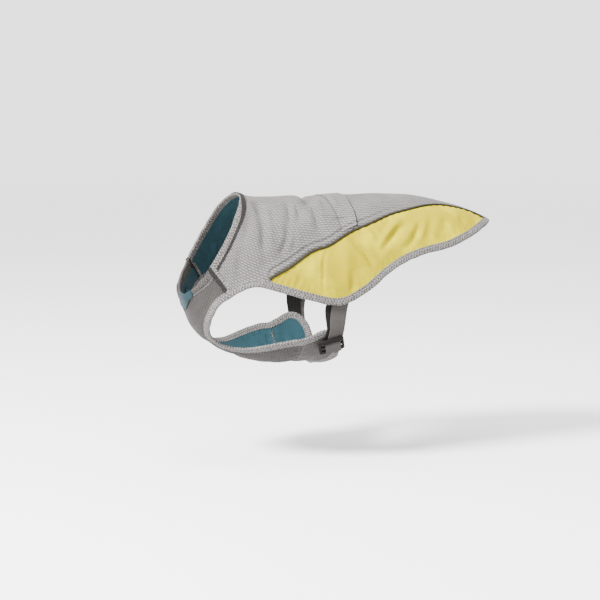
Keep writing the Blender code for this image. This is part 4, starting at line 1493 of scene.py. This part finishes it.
@dataclass
class BackPanel:
    """Grey knit back with the band across it and the dark piping at its sides."""

    wardrobe: Wardrobe
    row_factor: int = 5
    column_factor: int = 7
    seam_fade: float = 150.0
    ridges: tuple = ((0.70, 4.6, 1.6), (-0.95, 8.0, 1.3), (0.55, 11.2, 1.8))
    seam_gathers: Gathers = Gathers(0.34, 10.0, 0.7, 5.0)
    gathers_away: float = 6.0
    neck_gathers: Gathers = Gathers(0.45, 12.0, 1.9, 8.0)
    hem_gathers: Gathers = Gathers(0.30, 10.0, 0.6, 7.0)
    band_front: float = 0.45
    band_rear: float = 1.9
    band_thickness: float = 1.0
    cord_radii: tuple = (1.75, 1.3)
    cord_height: float = 0.05
    cord_run: tuple = (9.0, 4.0)
    edge_radius: float = 0.62

    def seam_relief(self, points: Array) -> Array:
        """Folds of the stitched seam allowance beside the piping, and the seam's own dip.

        Args:
            points: points of the skin, in millimetres.

        Returns:
            Heights in millimetres.
        """
        total = np.zeros(points.shape[:-1])
        for _, sign in SIDES:
            away, along = away_from(on_side(PATTERN.piping, sign), points)
            fade = 1.0 / (1.0 + np.exp((along - self.seam_fade) / 14.0))
            total -= 0.85 * beside(away, 1.7)
            ridge = sum(height * beside(away - place, reach) for height, place, reach in self.ridges)
            pucker = self.seam_gathers.relief(away - self.gathers_away, along, sign)
            total += (ridge + pucker) * (0.2 + 0.8 * fade)
        return total

    def cloth_relief(self, net: Array) -> Array:
        """Everything that shapes the back's cloth apart from the main folds."""
        points = line_points(net)
        neck, round_neck = away_from(PATTERN.neck, points, NECK_TRIM_WIDTH)
        hem, round_hem = away_from(PATTERN.whole_hem, points, HEM_WIDTH)
        relief = self.seam_relief(points) + uneven(points, 0.26, 0.4)
        relief += self.neck_gathers.relief(neck, round_neck)
        relief += self.hem_gathers.relief(hem, round_hem)
        return relief * freed(neck) * freed(hem)

    def build(self) -> list[Piece]:
        """Builds the panel, the band and the piping.

        Returns:
            The new pieces.
        """
        coarse, corners = PATTERN.back_net(TUCK)
        net = finer(coarse, self.row_factor, self.column_factor, corners)
        panel = cloth_shell("back_panel_cloth", net, extra=self.cloth_relief(net))
        dress(panel, "mesh_knit", ("back_panel",), self.wardrobe.knit, self.wardrobe.lining)
        first, last = PATTERN.band_rows
        strip = finer(coarse[first : last + 1, 1:-1], 14, self.column_factor)
        share = np.linspace(0, 1, len(strip))[:, None]
        rise = self.band_front + (self.band_rear - self.band_front) * share**0.8
        lip = 0.25 * np.exp(-(((share - 0.90) / 0.05) ** 2)) + 0.3 * np.exp(-(((share - 0.12) / 0.08) ** 2))
        relief = self.cloth_relief(strip)
        band = cloth_shell("back_band_cloth", strip, rise - lip, self.band_thickness, extra=relief)
        dress(band, "mesh_knit", ("back_band",), self.wardrobe.band, self.wardrobe.knit)
        pieces = [panel, band]
        # Two cords along the band: the dark one under its rear edge is a painted shadow line, and the
        # mid-grey one along its front seam is painted shade of the seam's groove
        for name, end, away, height, material in (
            ("band_edge_shadow_line", -1, -0.9, 0.55, self.wardrobe.dark_thread),
            ("band_seam_shade_line", 0, 0.5, 0.30, self.wardrobe.seam_thread),
        ):
            line = shifted(strip[end], away)
            sides = [shifted(line, k * self.edge_radius) for k in (1, -1)]
            cord = closed_strip(name, *sides, cord_profile(self.edge_radius, height, 8), relief[end])
            pieces.append(dress(cord, "mesh_knit", (), material))
        for ending, sign in SIDES:
            line = finer(on_side(lengthened(PATTERN.piping, *self.cord_run), sign), 6, 1)
            radius = np.linspace(*self.cord_radii, len(line))
            sides = [shifted(line, k * radius * sign) for k in (1, -1)]
            cord = closed_strip(
                f"piping_cord_{ending}", *sides, cord_profile(1.0, 0.0), self.cord_height, radius
            )
            pieces.append(dress(cord, "piping", (f"piping_{ending}",), self.wardrobe.piping))
        return pieces


def uneven(points: Array, size: float, seed: float) -> Array:
    """Slow unevenness of a cloth's surface, in millimetres."""
    x, y, z = np.moveaxis(points, -1, 0)
    waves = np.sin(x / 13.0 + 0.9 * np.sin(z / 21.0 + seed) + seed)
    waves *= np.cos(z / 10.0 + y / 17.0 + 2.0 * seed)
    waves += 0.6 * np.sin(x / 7.3 - z / 9.1 + 3.1 * seed) * np.sin(y / 8.7 + z / 12.0 + seed)
    return size * waves


@dataclass
class SidePanels:
    """Yellow side panels with their puckers and pressed folds."""

    wardrobe: Wardrobe
    row_factor: int = 6
    column_factor: int = 8
    puff: float = 1.1
    piping_gathers: Gathers = Gathers(0.42, 9.5, 0.4, 7.0)
    hem_gathers: Gathers = Gathers(0.60, 8.5, 1.3, 8.0)
    tip_shares: tuple = (0.60, 0.12)
    tip_dip: float = 0.9

    def with_tips(self, net: Array) -> Array:
        """The net with one more row at either end, drawn together into the tip under the piping.

        Args:
            net: the panel's net.

        Returns:
            The net with its tips.
        """
        above = lengthened(shifted(PATTERN.piping, -LEAST_GAP), *PATTERN.piping_run)
        rows = []
        for end, share in zip((0, -1), self.tip_shares):
            width = net[end] - net[end][:1]
            rows.append((above[end] + width * share)[None])
        return np.concatenate([rows[0], net, rows[1]])

    def cloth_relief(self, net: Array, sign: float) -> Array:
        """Puckers, folds and fullness of one panel.

        Args:
            net: the panel's net.
            sign: 1 on the left side and -1 on the right.

        Returns:
            Heights in millimetres.
        """
        points = line_points(net)
        pressed = SKIN.relief(points, SIDE_FOLDS_LEFT if sign > 0 else SIDE_FOLDS_RIGHT)
        top, along_top = away_from(on_side(PATTERN.piping, sign), points)
        low, along_low = away_from(on_side(PATTERN.hem, sign), points, HEM_WIDTH)
        gathers = self.piping_gathers.relief(top, along_top, sign)
        gathers += self.hem_gathers.relief(low, along_low, sign)
        from_edge = np.minimum(top, np.maximum(low, 0.0))
        full = self.puff * (1 - beside(from_edge, 13.0))
        calm = 1 - beside(from_edge, 5.0)
        relief = pressed * calm + gathers + full + uneven(points, 0.22, 2.2 * sign)
        front = np.clip(1.0 - np.arange(len(net)) / self.row_factor, 0.0, 1.0)[:, None]
        return relief * freed(low) - 0.9 * beside(top, 1.8) - self.tip_dip * front**2

    def build(self) -> list[Piece]:
        """Builds both panels.

        Returns:
            The new pieces.
        """
        pieces = []
        coarse = self.with_tips(PATTERN.side_net(TUCK))
        yellow, lining = self.wardrobe.yellow, self.wardrobe.lining
        for ending, sign in SIDES:
            net = finer(on_side(coarse, sign), self.row_factor, self.column_factor)
            relief = self.cloth_relief(net, sign)
            panel = cloth_shell(f"side_panel_cloth_{ending}", net, extra=relief, along_phi=70.0, rim=1)
            pieces.append(dress(panel, "ripstop", (f"side_panel_{ending}",), yellow, lining))
        return pieces


@dataclass
class Bindings:
    """Folded bindings of every cloth edge, with the closures at the shoulders."""

    wardrobe: Wardrobe
    row_factor: int = 5
    crown: float = 0.85
    depth: float = 2.9
    shoulder_rows: tuple = ((0.03, 109.9), (0.30, 109.7), (0.64, 109.2), (1.02, 109.0), (1.47, 110.1))
    shoulder_rise: float = 0.75
    # t, phi and width of the dark neck seam strip, which partly paints the shade of the seam's recess
    neck_seam_rows: tuple = (
        (0.10, 0.0, 4.4), (0.10, 12.0, 4.8), (0.12, 22.0, 5.4), (0.18, 32.0, 6.0), (0.26, 41.0, 5.4),
        (0.32, 49.0, 4.4), (0.35, 57.0, 3.7), (0.36, 67.0, 3.2), (0.38, 76.0, 2.9), (0.40, 84.0, 2.5),
        (0.42, 92.0, 2.2), (0.43, 100.0, 2.0), (0.43, 106.5, 1.8),
    )

    def bind(
        self, name: str, node: str, line: Array, inner: Array, seed: float, material: bpy.types.Material
    ) -> Piece:
        """Makes one folded binding.

        Args:
            name: the piece's name.
            node: the solid that it replaces.
            line: places of its free edge.
            inner: places of its stitched edge.
            seed: sets where its small waves fall.
            material: its finish.

        Returns:
            The new piece.
        """
        first, second = finer(line, self.row_factor, 1), finer(inner, self.row_factor, 1)
        along = travelled(first)
        base = 0.14 * ripple(along, 17.0, seed)
        swell = 1.0 + 0.07 * ripple(along, 9.0, seed + 1.0)
        lean = 0.035 * ripple(along, 23.0, seed + 2.0)[:, None]
        first = first + (first - second) * lean
        piece = closed_strip(name, first, second, binding_profile(self.crown, self.depth), base, swell)
        return dress(piece, "binding", (node,), material)

    def neck_seam(self) -> Piece:
        """Makes the dark strip along the neck's seam, wide at the nape and narrow at the shoulders: partly
        a dark seam tape, partly painted shade of the recess between the binding and the panel.
        """
        table = np.array(self.neck_seam_rows)
        table = np.concatenate([table[::-1], table[1:] * (1, -1, 1)])
        fine = through(table, np.linspace(0, len(table) - 1, 8 * (len(table) - 1) + 1))
        sides = [shifted(fine[:, :2], fine[:, 2] * k) for k in (0.5, -0.5)]
        piece = closed_strip("neck_seam_tape_and_shade", *sides, webbing_profile(1.4), 1.15)
        return dress(piece, "binding", (), self.wardrobe.seam)

    def build(self) -> list[Piece]:
        """Builds the bindings and the shoulder closures.

        Returns:
            The new pieces.
        """
        tape, neck = self.wardrobe.tape, self.wardrobe.neck_tape
        hem, chest = PATTERN.whole_hem, PATTERN.whole_chest
        nape = shifted(PATTERN.neck, -NECK_TRIM_WIDTH)
        front, front_inner = PATTERN.front, PATTERN.front_inner
        pieces = [
            self.bind("hem_tape", "hem_binding", hem, shifted(hem, HEM_WIDTH), 0.3, tape),
            self.bind("chest_tape", "chest_binding", chest, shifted(chest, -HEM_WIDTH), 1.1, tape),
            self.bind("neck_tape_back", "neck_binding_back", PATTERN.neck, nape, 2.4, neck),
            self.bind(
                "neck_tape_front", "neck_binding_front", front, front_inner, 3.2, self.wardrobe.front_tape
            ),
            self.neck_seam(),
        ]
        half = TAPE_WIDTH / 2
        shoulder = smooth_line(self.shoulder_rows, 6)
        for ending, sign in SIDES:
            line = finer(on_side(shoulder, sign), 10, 1)
            rise = self.shoulder_rise * freed(-(line[:, 0] - 0.62) * 25.0, 6.0)
            trim = [shifted(line, sign * k) for k in (half + 0.1, half + GAP + SHOULDER_TRIM_WIDTH)]
            piece = closed_strip(f"shoulder_trim_{ending}", *trim, binding_profile(0.8, 2.3), rise)
            pieces.append(dress(piece, "binding", (f"shoulder_binding_{ending}",), tape))
            sides = [shifted(line, sign * k) for k in (-half - 0.7, half + 0.3)]
            piece = closed_strip(f"shoulder_hook_{ending}", *sides, webbing_profile(1.9), 0.45 + rise)
            pieces.append(dress(piece, "hook_tape", (f"shoulder_tape_{ending}",), self.wardrobe.hook))
        return pieces


@dataclass
class ChestPiece:
    """Chest and belly panels, the lining behind them and the blank label at the neck."""

    wardrobe: Wardrobe
    factor: int = 5
    section_step: float = 25.0
    binding_gathers: Gathers = Gathers(0.50, 11.0, 0.9, 8.0)
    seam_gathers: Gathers = Gathers(0.5, 12.0, 2.0, 9.0)
    label_rows: int = 34
    label_columns: int = 40
    label_top: float = 33.0
    label_waist: float = 23.0
    label_foot: float = 9.0
    label_step: float = 0.31
    label_end: float = 0.66
    label_start: float = -0.012
    label_blend: float = 0.012
    label_thickness: float = 0.8
    label_gap: float = 0.15
    label_over_seam: float = 0.80

    def cloth_relief(self, net: Array) -> Array:
        """Puckers along the bindings and the seam, and slow unevenness."""
        t, phi = net[..., 0], net[..., 1]
        points = line_points(net)
        low, along = away_from(PATTERN.whole_chest, points, HEM_WIDTH)
        seam, along_seam = away_from(PATTERN.whole_seam, points)
        top_t, top_phi = np.array(PATTERN.chest_top).T
        below_neck = (t - np.interp(180.0 - np.abs(180.0 - phi), top_phi, top_t)) * self.section_step
        relief = self.binding_gathers.relief(low, along)
        relief += self.seam_gathers.relief(seam, along_seam) - 0.9 * beside(seam, 1.5)
        relief += uneven(points, 0.3, 1.7)
        return relief * freed(low) * freed(below_neck)

    def label_net(self) -> tuple[Array, Array]:
        """The label's own outline, wide at the neck and narrow at its foot.

        Returns:
            Its net, and the heights of its outer face.
        """
        down = np.linspace(0.0, 1.0, self.label_rows)[:, None]
        across = np.linspace(-1.0, 1.0, self.label_columns)[None, :]
        t = self.label_start + (self.label_end - self.label_start) * down + 0 * across
        below = (t - self.label_step) / (self.label_end - self.label_step)
        tail = self.label_waist + (self.label_foot - self.label_waist) * below
        neck = 1 / (1 + np.exp((t - self.label_step) / self.label_blend))
        phi = 180.0 + across * (neck * self.label_top + (1 - neck) * tail)
        net = np.stack([t, phi], -1)
        over = 1 / (1 + np.exp((t - 0.33) / 0.02))
        start = np.clip(1 - t / 0.05, 0, 1) ** 2
        heights = self.label_thickness + self.label_gap + over * self.label_over_seam - start * 0.6
        return net, heights

    def build(self) -> list[Piece]:
        """Builds the panels, the lining and the label.

        Returns:
            The new pieces.
        """
        pieces = []
        for name, coarse in zip(("chest", "belly"), PATTERN.chest_nets(TUCK)):
            net = finer(coarse, self.factor, self.factor)
            panel = cloth_shell(f"{name}_panel_cloth", net, extra=self.cloth_relief(net), along_phi=150.0)
            outside = getattr(self.wardrobe, name)
            pieces.append(dress(panel, "chest_knit", (f"{name}_panel",), outside, self.wardrobe.lining))
        first, last = PATTERN.lining_rows
        inner_net = finer(PATTERN.chest_nets(0.0)[0][first : last + 1, 1:-1], 4, 4)
        relief = self.cloth_relief(inner_net) * 0.8
        lining = cloth_shell("chest_lining_cloth", inner_net, -(WALL + GAP), 1.0, 150.0, relief)
        dress(lining, "lining", ("chest_lining",), self.wardrobe.lining, self.wardrobe.lining)
        net, heights = self.label_net()
        label = cloth_shell("label_blank", net, heights, self.label_thickness, along_phi=150.0)
        dress(label, "label", ("front_label",), self.wardrobe.label, self.wardrobe.label)
        return [*pieces, lining, label]


@dataclass
class Straps:
    """Webbing straps with their folded-back layers under them, coloured near black as painted shade, and
    sliders and their loops.
    """

    wardrobe: Wardrobe
    strap_rows: tuple = (
        (4.72, 90.0, 5.09, 90.0, -3.0), (4.72, 97.0, 5.10, 97.0, -3.0), (4.73, 103.0, 5.11, 103.0, -2.9),
        (4.76, 108.0, 5.12, 108.0, -1.2), (4.79, 113.0, 5.13, 113.0, 1.6), (4.83, 118.0, 5.14, 117.5, 3.8),
        (4.86, 124.0, 5.16, 122.0, 4.3), (4.89, 129.0, 5.18, 126.3, 4.3),
    )
    under_rows: tuple = (
        (4.60, 90.0, 4.97, 90.0, -4.5), (4.60, 97.0, 4.98, 97.0, -4.5), (4.60, 103.0, 4.98, 103.0, -4.4),
        (4.65, 108.0, 5.00, 108.0, -2.7), (4.71, 113.0, 5.02, 113.0, 0.1), (4.77, 118.0, 5.05, 117.5, 2.4),
        (4.80, 124.0, 5.08, 122.0, 2.8), (4.82, 131.0, 5.10, 128.2, 2.8),
    )
    slider_middle: tuple = (4.99, 131.3)
    slider_ends: tuple = ((4.75, 133.5), (5.23, 129.0))
    slider_height: float = 5.9
    slider_size: tuple = (31.0, 21.0, 3.0)
    slot_size: tuple = (25.0, 4.6, 10.0)
    slot_centre: float = 3.4
    slot_corner: float = 0.9
    corner: float = 2.5
    edge_round: float = 0.75
    bevel_angle: float = 40.0
    smooth_angle: float = 35.0
    loop_shift: float = 1.5
    loop_path: tuple = (
        (-3.9, -0.6), (-3.6, 1.3), (-2.2, 2.4), (2.2, 2.4), (6.2, 2.3), (10.2, 2.2), (11.6, 1.2),
        (12.4, -1.2), (13.4, -3.4), (15.4, -4.9),
    )

    @staticmethod
    def strap(name: str, table: tuple, sign: float) -> Piece:
        """Makes one flat strap.

        Args:
            name: the piece's name.
            table: its rows, as t and phi of both edges and the height of its outer face.
            sign: 1 on the left side and -1 on the right.

        Returns:
            The new piece.
        """
        rows = finer(np.array(table), 8, 1)
        first, second = on_side(rows[:, 0:2], sign), on_side(rows[:, 2:4], sign)
        return closed_strip(name, first, second, webbing_profile(), rows[:, 4])

    def slider_axes(self, sign: float) -> tuple[Array, tuple[Array, Array, Array]]:
        """A slider's middle, in metres, and its axes: across the webbing, down it and outwards."""
        t, phi = self.slider_middle
        places = np.array([t]), np.array([phi * sign])
        base = SKIN.points(*places)
        lift = self.slider_height + SKIN.relief(base, FORM_FOLDS)
        out = SKIN.normals(*places)[0]
        middle = (base[0] + out * lift[0] - SKIN.origin) * MM
        ends = [SKIN.points(end_t, end_phi * sign) for end_t, end_phi in self.slider_ends]
        down = unit(np.cross(ends[1] - ends[0], out) * sign)
        return middle, (np.cross(down, out), down, out)

    @staticmethod
    def block(size: tuple, shift: float, corner: float, segments: int) -> Piece:
        """Adds a block with rounded upright edges.

        Args:
            size: its sizes, in millimetres.
            shift: how far it stands off along Y, in millimetres.
            corner: its rounding's width, in millimetres.
            segments: how many faces the rounding gets.

        Returns:
            The new object, which is the active one.
        """
        clean_selection()
        bpy.ops.mesh.primitive_cube_add(size=1.0, location=(0, 0, 0))
        piece = bpy.context.object
        edit_mesh(
            piece,
            (bpy.ops.transform.resize, {"value": tuple(side * MM for side in size)}),
            (bpy.ops.transform.translate, {"value": (0, shift * MM, 0)}),
        )
        round_corners(piece, corner, segments)
        return piece

    def slider(self, ending: str, middle: Array, axes: tuple) -> Piece:
        """Models a slider with two slots and rounded bars, and moves its mesh into place.

        Args:
            ending: the side's name.
            middle: where its middle lies, in metres.
            axes: its three axes.

        Returns:
            The new piece.
        """
        self.block(self.slider_size, 0.0, self.corner, 4)
        piece = name_piece(f"slider_frame_{ending}")
        for side in (-1, 1):
            cutter = self.block(self.slot_size, side * self.slot_centre, self.slot_corner, 3)
            apply_modifier(piece, "BOOLEAN", operation="DIFFERENCE", solver="EXACT", object=cutter)
            bpy.data.objects.remove(cutter, do_unlink=True)
        apply_modifier(
            piece, "BEVEL", width=self.edge_round * MM, segments=4, limit_method="ANGLE",
            angle_limit=math.radians(self.bevel_angle), harden_normals=False,
        )
        smooth(piece, self.smooth_angle)
        matrix = Matrix.Identity(4)
        for k, axis in enumerate(axes):
            matrix.col[k] = (*axis, 0.0)
        matrix.col[3] = (*middle, 1.0)
        piece.data.transform(matrix)
        edit_mesh(piece, (bpy.ops.mesh.normals_make_consistent, {"inside": False}))
        return dress(piece, "slider_plastic", (f"slider_{ending}",), self.wardrobe.plastic)

    def loop(self, ending: str, middle: Array, axes: tuple) -> Piece:
        """Makes the short webbing loop over a slider's middle bar.

        Args:
            ending: the side's name.
            middle: where the loop's path starts from, in metres.
            axes: the slider's axes.

        Returns:
            The new piece.
        """
        path = finer(np.array(self.loop_path), 6, 1)
        heading = unit(np.gradient(path, axis=0))
        out = np.stack([-heading[:, 1], heading[:, 0]], -1)
        profile = webbing_profile()
        ring = np.concatenate([profile, profile[:1]])
        across = (ring[:, 0] - 0.5) * LOOP_WIDTH
        lift = ring[:, 1] + WEBBING_THICKNESS / 2
        flat = path[:, None] + out[:, None] * lift[None, :, None]
        points = middle + axes[1] * flat[..., 0:1] * MM + axes[2] * flat[..., 1:2] * MM
        points = points + axes[0] * (across[None, :, None] * MM)
        piece = closed_surface(f"slider_loop_webbing_{ending}", points, running(path) * MM, across * MM)
        return dress(piece, "webbing", (f"slider_loop_{ending}",), self.wardrobe.webbing)

    def build(self) -> list[Piece]:
        """Builds the straps, sliders and loops of both sides.

        Returns:
            The new pieces.
        """
        pieces = []
        for ending, sign in SIDES:
            strap = self.strap(f"strap_webbing_{ending}", self.strap_rows, sign)
            dress(strap, "webbing", (f"strap_{ending}",), self.wardrobe.webbing)
            under = self.strap(f"strap_backing_{ending}", self.under_rows, sign)
            dress(under, "dark_webbing", (f"strap_under_{ending}",), self.wardrobe.black)
            middle, axes = self.slider_axes(sign)
            start = middle - axes[0] * sign * self.loop_shift * MM
            pieces += [strap, under, self.slider(ending, middle, axes), self.loop(ending, start, axes)]
        return pieces


def round_corners(piece: Piece, width: float, segments: int) -> None:
    """Bevels a block's upright edges.

    Args:
        piece: the block, with its thickness along Z.
        width: the bevel's width, in millimetres.
        segments: how many faces the bevel gets.
    """
    bpy.context.view_layer.objects.active = piece
    bpy.ops.object.mode_set(mode="EDIT")
    bpy.ops.mesh.select_mode(type="EDGE")
    bpy.ops.mesh.select_all(action="DESELECT")
    bpy.ops.object.mode_set(mode="OBJECT")
    corners = piece.data.vertices
    for edge in piece.data.edges:
        first, second = (corners[k].co for k in edge.vertices)
        edge.select = abs(first.z - second.z) > 1e-6 and (first.xy - second.xy).length < 1e-7
    bpy.ops.object.mode_set(mode="EDIT")
    bpy.ops.mesh.bevel(offset=width * MM, segments=segments, profile=0.5, affect="EDGES")
    bpy.ops.mesh.select_mode(type="VERT")
    bpy.ops.object.mode_set(mode="OBJECT")


@dataclass
class Sewing:
    """Rows of stitches along the bindings and seams, joined by thread."""

    wardrobe: Wardrobe
    binding_share: float = 0.79
    binding_top: float = 0.12
    beside_piping: tuple = ((3.0, -0.05), (7.6, -0.45))
    beside_seam: tuple = (-3.0, 3.0)
    tacks: tuple = ((4.13, 42.2), (4.30, 41.7), (4.48, 41.5), (4.64, 41.5))
    tack_height: float = 1.05

    def binding_rows(self, kind: StitchKind) -> list[Array]:
        """Places of the stitches along all bindings."""
        share = self.binding_share
        lines = [shifted(PATTERN.whole_hem, HEM_WIDTH * share)]
        lines.append(shifted(PATTERN.whole_chest, -HEM_WIDTH * share))
        lines.append(shifted(PATTERN.neck, -NECK_TRIM_WIDTH * share))
        lines.append(PATTERN.front + (PATTERN.front_inner - PATTERN.front) * share)
        return [place for line in lines for place in stitch_row(finer(line, 5, 1), self.binding_top, kind)]

    def seam_rows(self, kind: StitchKind) -> list[Array]:
        """Places of the light stitches along the seams of the panels."""
        rows = []
        for _, sign in SIDES:
            side = on_side(PATTERN.piping, sign)
            for away, height in self.beside_piping:
                rows += stitch_row(finer(shifted(side, sign * away), 5, 1)[8:-12], height, kind)
        for away in self.beside_seam:
            rows += stitch_row(finer(shifted(PATTERN.whole_seam, away), 5, 1), 0.0, kind)
        return rows

    def tack_rows(self, kind: StitchKind) -> list[Array]:
        """Places of the dark tacks across the band."""
        lines = [on_side(np.array(self.tacks), sign) for _, sign in SIDES]
        return [place for line in lines for place in stitch_row(line, self.tack_height, kind)]

    def build(self) -> list[Piece]:
        """Builds one joined mesh for each thread.

        Returns:
            The new pieces.
        """
        light, dark = self.wardrobe.grey_thread, self.wardrobe.dark_thread
        pieces = []
        for name, rows, kind, slot, thread in (
            ("binding_stitches", self.binding_rows, StitchKind(), "binding", light),
            ("seam_stitches", self.seam_rows, StitchKind(2.4, 1.1, 0.24), "mesh_knit", light),
            ("band_tacks", self.tack_rows, StitchKind(1.5, 0.25, 0.34), "mesh_knit", dark),
        ):
            pieces.append(dress(stitch_mesh(name, rows(kind), kind), slot, (), thread))
        return pieces


@dataclass
class Studio:
    """Pale floor, soft lights and the camera at the photo's angle."""

    azimuth: float = -16.0
    elevation: float = 7.5
    distance: float = 2600.0
    target: tuple[float, float, float] = (47.0, 0.0, -125.0)
    pixel_size: float = 1.2
    frame_pixels: float = 600.0
    lights: dict = field(
        default_factory=lambda: {
            "key": (-62.0, 46.0, 2.4, 0.7, 350.0),
            "fill": (38.0, 24.0, 2.8, 2.0, 20.0),
            "top": (20.0, 84.0, 2.4, 1.6, 45.0),
        }
    )
    vest_middle: tuple[float, float, float] = (0.09, 0.0, -0.1)
    floor_depth: float = 0.312
    floor_size: float = 16.0
    floor_solid: float = 0.9
    floor_gone: float = 5.5
    sky: float = 2.5

    @staticmethod
    def way(azimuth: float, elevation: float) -> Vector:
        """The direction from the vest to a place round it, both angles in degrees."""
        turn, rise = math.radians(azimuth), math.radians(elevation)
        return Vector((math.sin(turn) * math.cos(rise), -math.cos(turn) * math.cos(rise), math.sin(rise)))

    def camera(self) -> None:
        """Places the camera."""
        back = self.way(self.azimuth, self.elevation)
        data = bpy.data.cameras.new("camera")
        data.sensor_width = 36.0
        data.lens = data.sensor_width * self.distance / (self.pixel_size * self.frame_pixels)
        data.clip_start, data.clip_end = 0.05, 60.0
        target = Vector(self.target) - Vector(SKIN.origin)
        bpy.context.scene.camera = self.aimed(data, (target + back * self.distance) * MM, back)

    @staticmethod
    def aimed(data: bpy.types.ID, place: Vector, back: Vector) -> Piece:
        """Adds a camera or lamp at a place, looking against the way back."""
        item = bpy.data.objects.new(data.name, data)
        bpy.context.scene.collection.objects.link(item)
        item.location = place
        item.rotation_euler = (-back).to_track_quat("-Z", "Y").to_euler()
        return item

    def light(
        self, name: str, azimuth: float, elevation: float, far: float, size: float, power: float
    ) -> None:
        """Adds a soft area light that looks at the vest.

        Args:
            name: the light's name.
            azimuth: where it stands round the vest, as for the camera.
            elevation: how high it stands, in degrees.
            far: its distance, in metres.
            size: its width, in metres.
            power: its power, in watts.
        """
        back = self.way(azimuth, elevation)
        data = bpy.data.lights.new(name, "AREA")
        data.shape = "DISK"
        data.size = size
        data.energy = power
        self.aimed(data, Vector(self.vest_middle) + back * far, back)

    def floor(self) -> None:
        """Adds the floor where a wearer of this size stands; it fades into the sky far away."""
        clean_selection()
        bpy.ops.mesh.primitive_plane_add(size=self.floor_size, location=(0.09, 0.0, -self.floor_depth))
        floor = name_piece("floor")
        finish = Finish("pale_floor", (0.86, 0.86, 0.86), (0.82, 0.82, 0.82), 0.8)
        material, pen, shader = new_material(finish)
        place = pen.add("ShaderNodeTexCoord").outputs["Object"]
        tone = pen.noise(place, 1.4, 2.0)
        colour = pen.mix(tone, (0.70, 0.70, 0.70, 1.0), (0.72, 0.72, 0.72, 1.0))
        pen.feed(shader.inputs["Base Color"], colour)
        far = pen.add("ShaderNodeVectorMath", {0: place}, operation="LENGTH").outputs["Value"]
        clear = pen.add("ShaderNodeBsdfTransparent").outputs[0]
        fade = pen.ramp(far, self.floor_solid, self.floor_gone)
        blend = pen.add("ShaderNodeMixShader", {0: fade, 1: shader.outputs[0], 2: clear})
        pen.feed(material.node_tree.nodes["Material Output"].inputs["Surface"], blend.outputs[0])
        floor.data.materials.append(material)

    def build(self) -> None:
        """Builds the studio."""
        self.camera()
        self.floor()
        for name, values in self.lights.items():
            self.light(name, *values)
        world = bpy.data.worlds.new("studio")
        world.use_nodes = True
        background = world.node_tree.nodes["Background"]
        background.inputs["Color"].default_value = (1.0, 1.0, 1.0, 1.0)
        background.inputs["Strength"].default_value = self.sky
        bpy.context.scene.world = world


class Held(Enum):
    """How a cloth piece is held in its place."""

    DRAPED = "draped"
    LAID = "laid"
    STRETCHED = "stretched"


@dataclass(frozen=True)
class Cut:
    """The flat cut of one cloth piece, what carries it and what is sewn to it."""

    piece: str
    flat: tuple[float, float]
    area: float
    held: Held
    rests_on: tuple[str, ...]
    sewn: tuple[str, ...] = ()

    def declare(self) -> None:
        """Does nothing: the cut, in metres and square metres, is not stated anywhere."""


def cuts() -> list[Cut]:
    """The cut of every cloth piece that shows.

    Returns:
        One cut for each sheet, with its bindings, cords and stitches.
    """
    on_back = ("hem_tape", "neck_tape_back", "neck_seam_tape_and_shade", "piping_cord_left", "piping_cord_right")
    on_back += ("shoulder_trim_left", "shoulder_trim_right", "binding_stitches", "seam_stitches")
    on_band = ("band_edge_shadow_line", "band_seam_shade_line", "band_tacks")
    on_chest = ("chest_tape", "neck_tape_front", "shoulder_hook_left", "shoulder_hook_right")
    edges = ("neck_binding_back", "hem_binding")
    front = ("chest_binding", "neck_binding_front")
    back, chest = ("back_panel_cloth",), ("chest_panel_cloth",)
    table = [
        Cut("back_panel_cloth", (0.314, 0.330), 0.0519, Held.DRAPED, edges, on_back),
        Cut("back_band_cloth", (0.169, 0.0256), 0.0039, Held.STRETCHED, back, on_band),
        Cut("chest_panel_cloth", (0.203, 0.190), 0.0192, Held.STRETCHED, front, on_chest),
        Cut("belly_panel_cloth", (0.191, 0.043), 0.0070, Held.STRETCHED, chest),
        Cut("chest_lining_cloth", (0.141, 0.165), 0.0119, Held.LAID, chest),
        Cut("label_blank", (0.052, 0.025), 0.0011, Held.LAID, chest),
    ]
    for ending, _ in SIDES:
        strap = f"strap_webbing_{ending}"
        fittings = (f"slider_frame_{ending}", f"slider_loop_webbing_{ending}")
        table += [
            Cut(f"side_panel_cloth_{ending}", (0.072, 0.305), 0.0159, Held.DRAPED, back),
            Cut(strap, (0.020, 0.068), 0.00134, Held.STRETCHED, ("hem_tape",), fittings),
            Cut(f"strap_backing_{ending}", (0.0185, 0.072), 0.00132, Held.STRETCHED, (strap,)),
        ]
    return table


def main() -> None:
    """Builds the vest's pieces in order, then the studio."""
    logging.basicConfig(level=logging.INFO, format="%(message)s")
    wardrobe = Wardrobe()
    for kind in (BackPanel, SidePanels, Bindings, ChestPiece, Straps, Sewing):
        part = kind(wardrobe)
        pieces = part.build()
        LOG.info("%s: %d pieces", type(part).__name__, len(pieces))
    for cut in cuts():
        cut.declare()
    Studio().build()


if __name__ == "__main__":
    main()
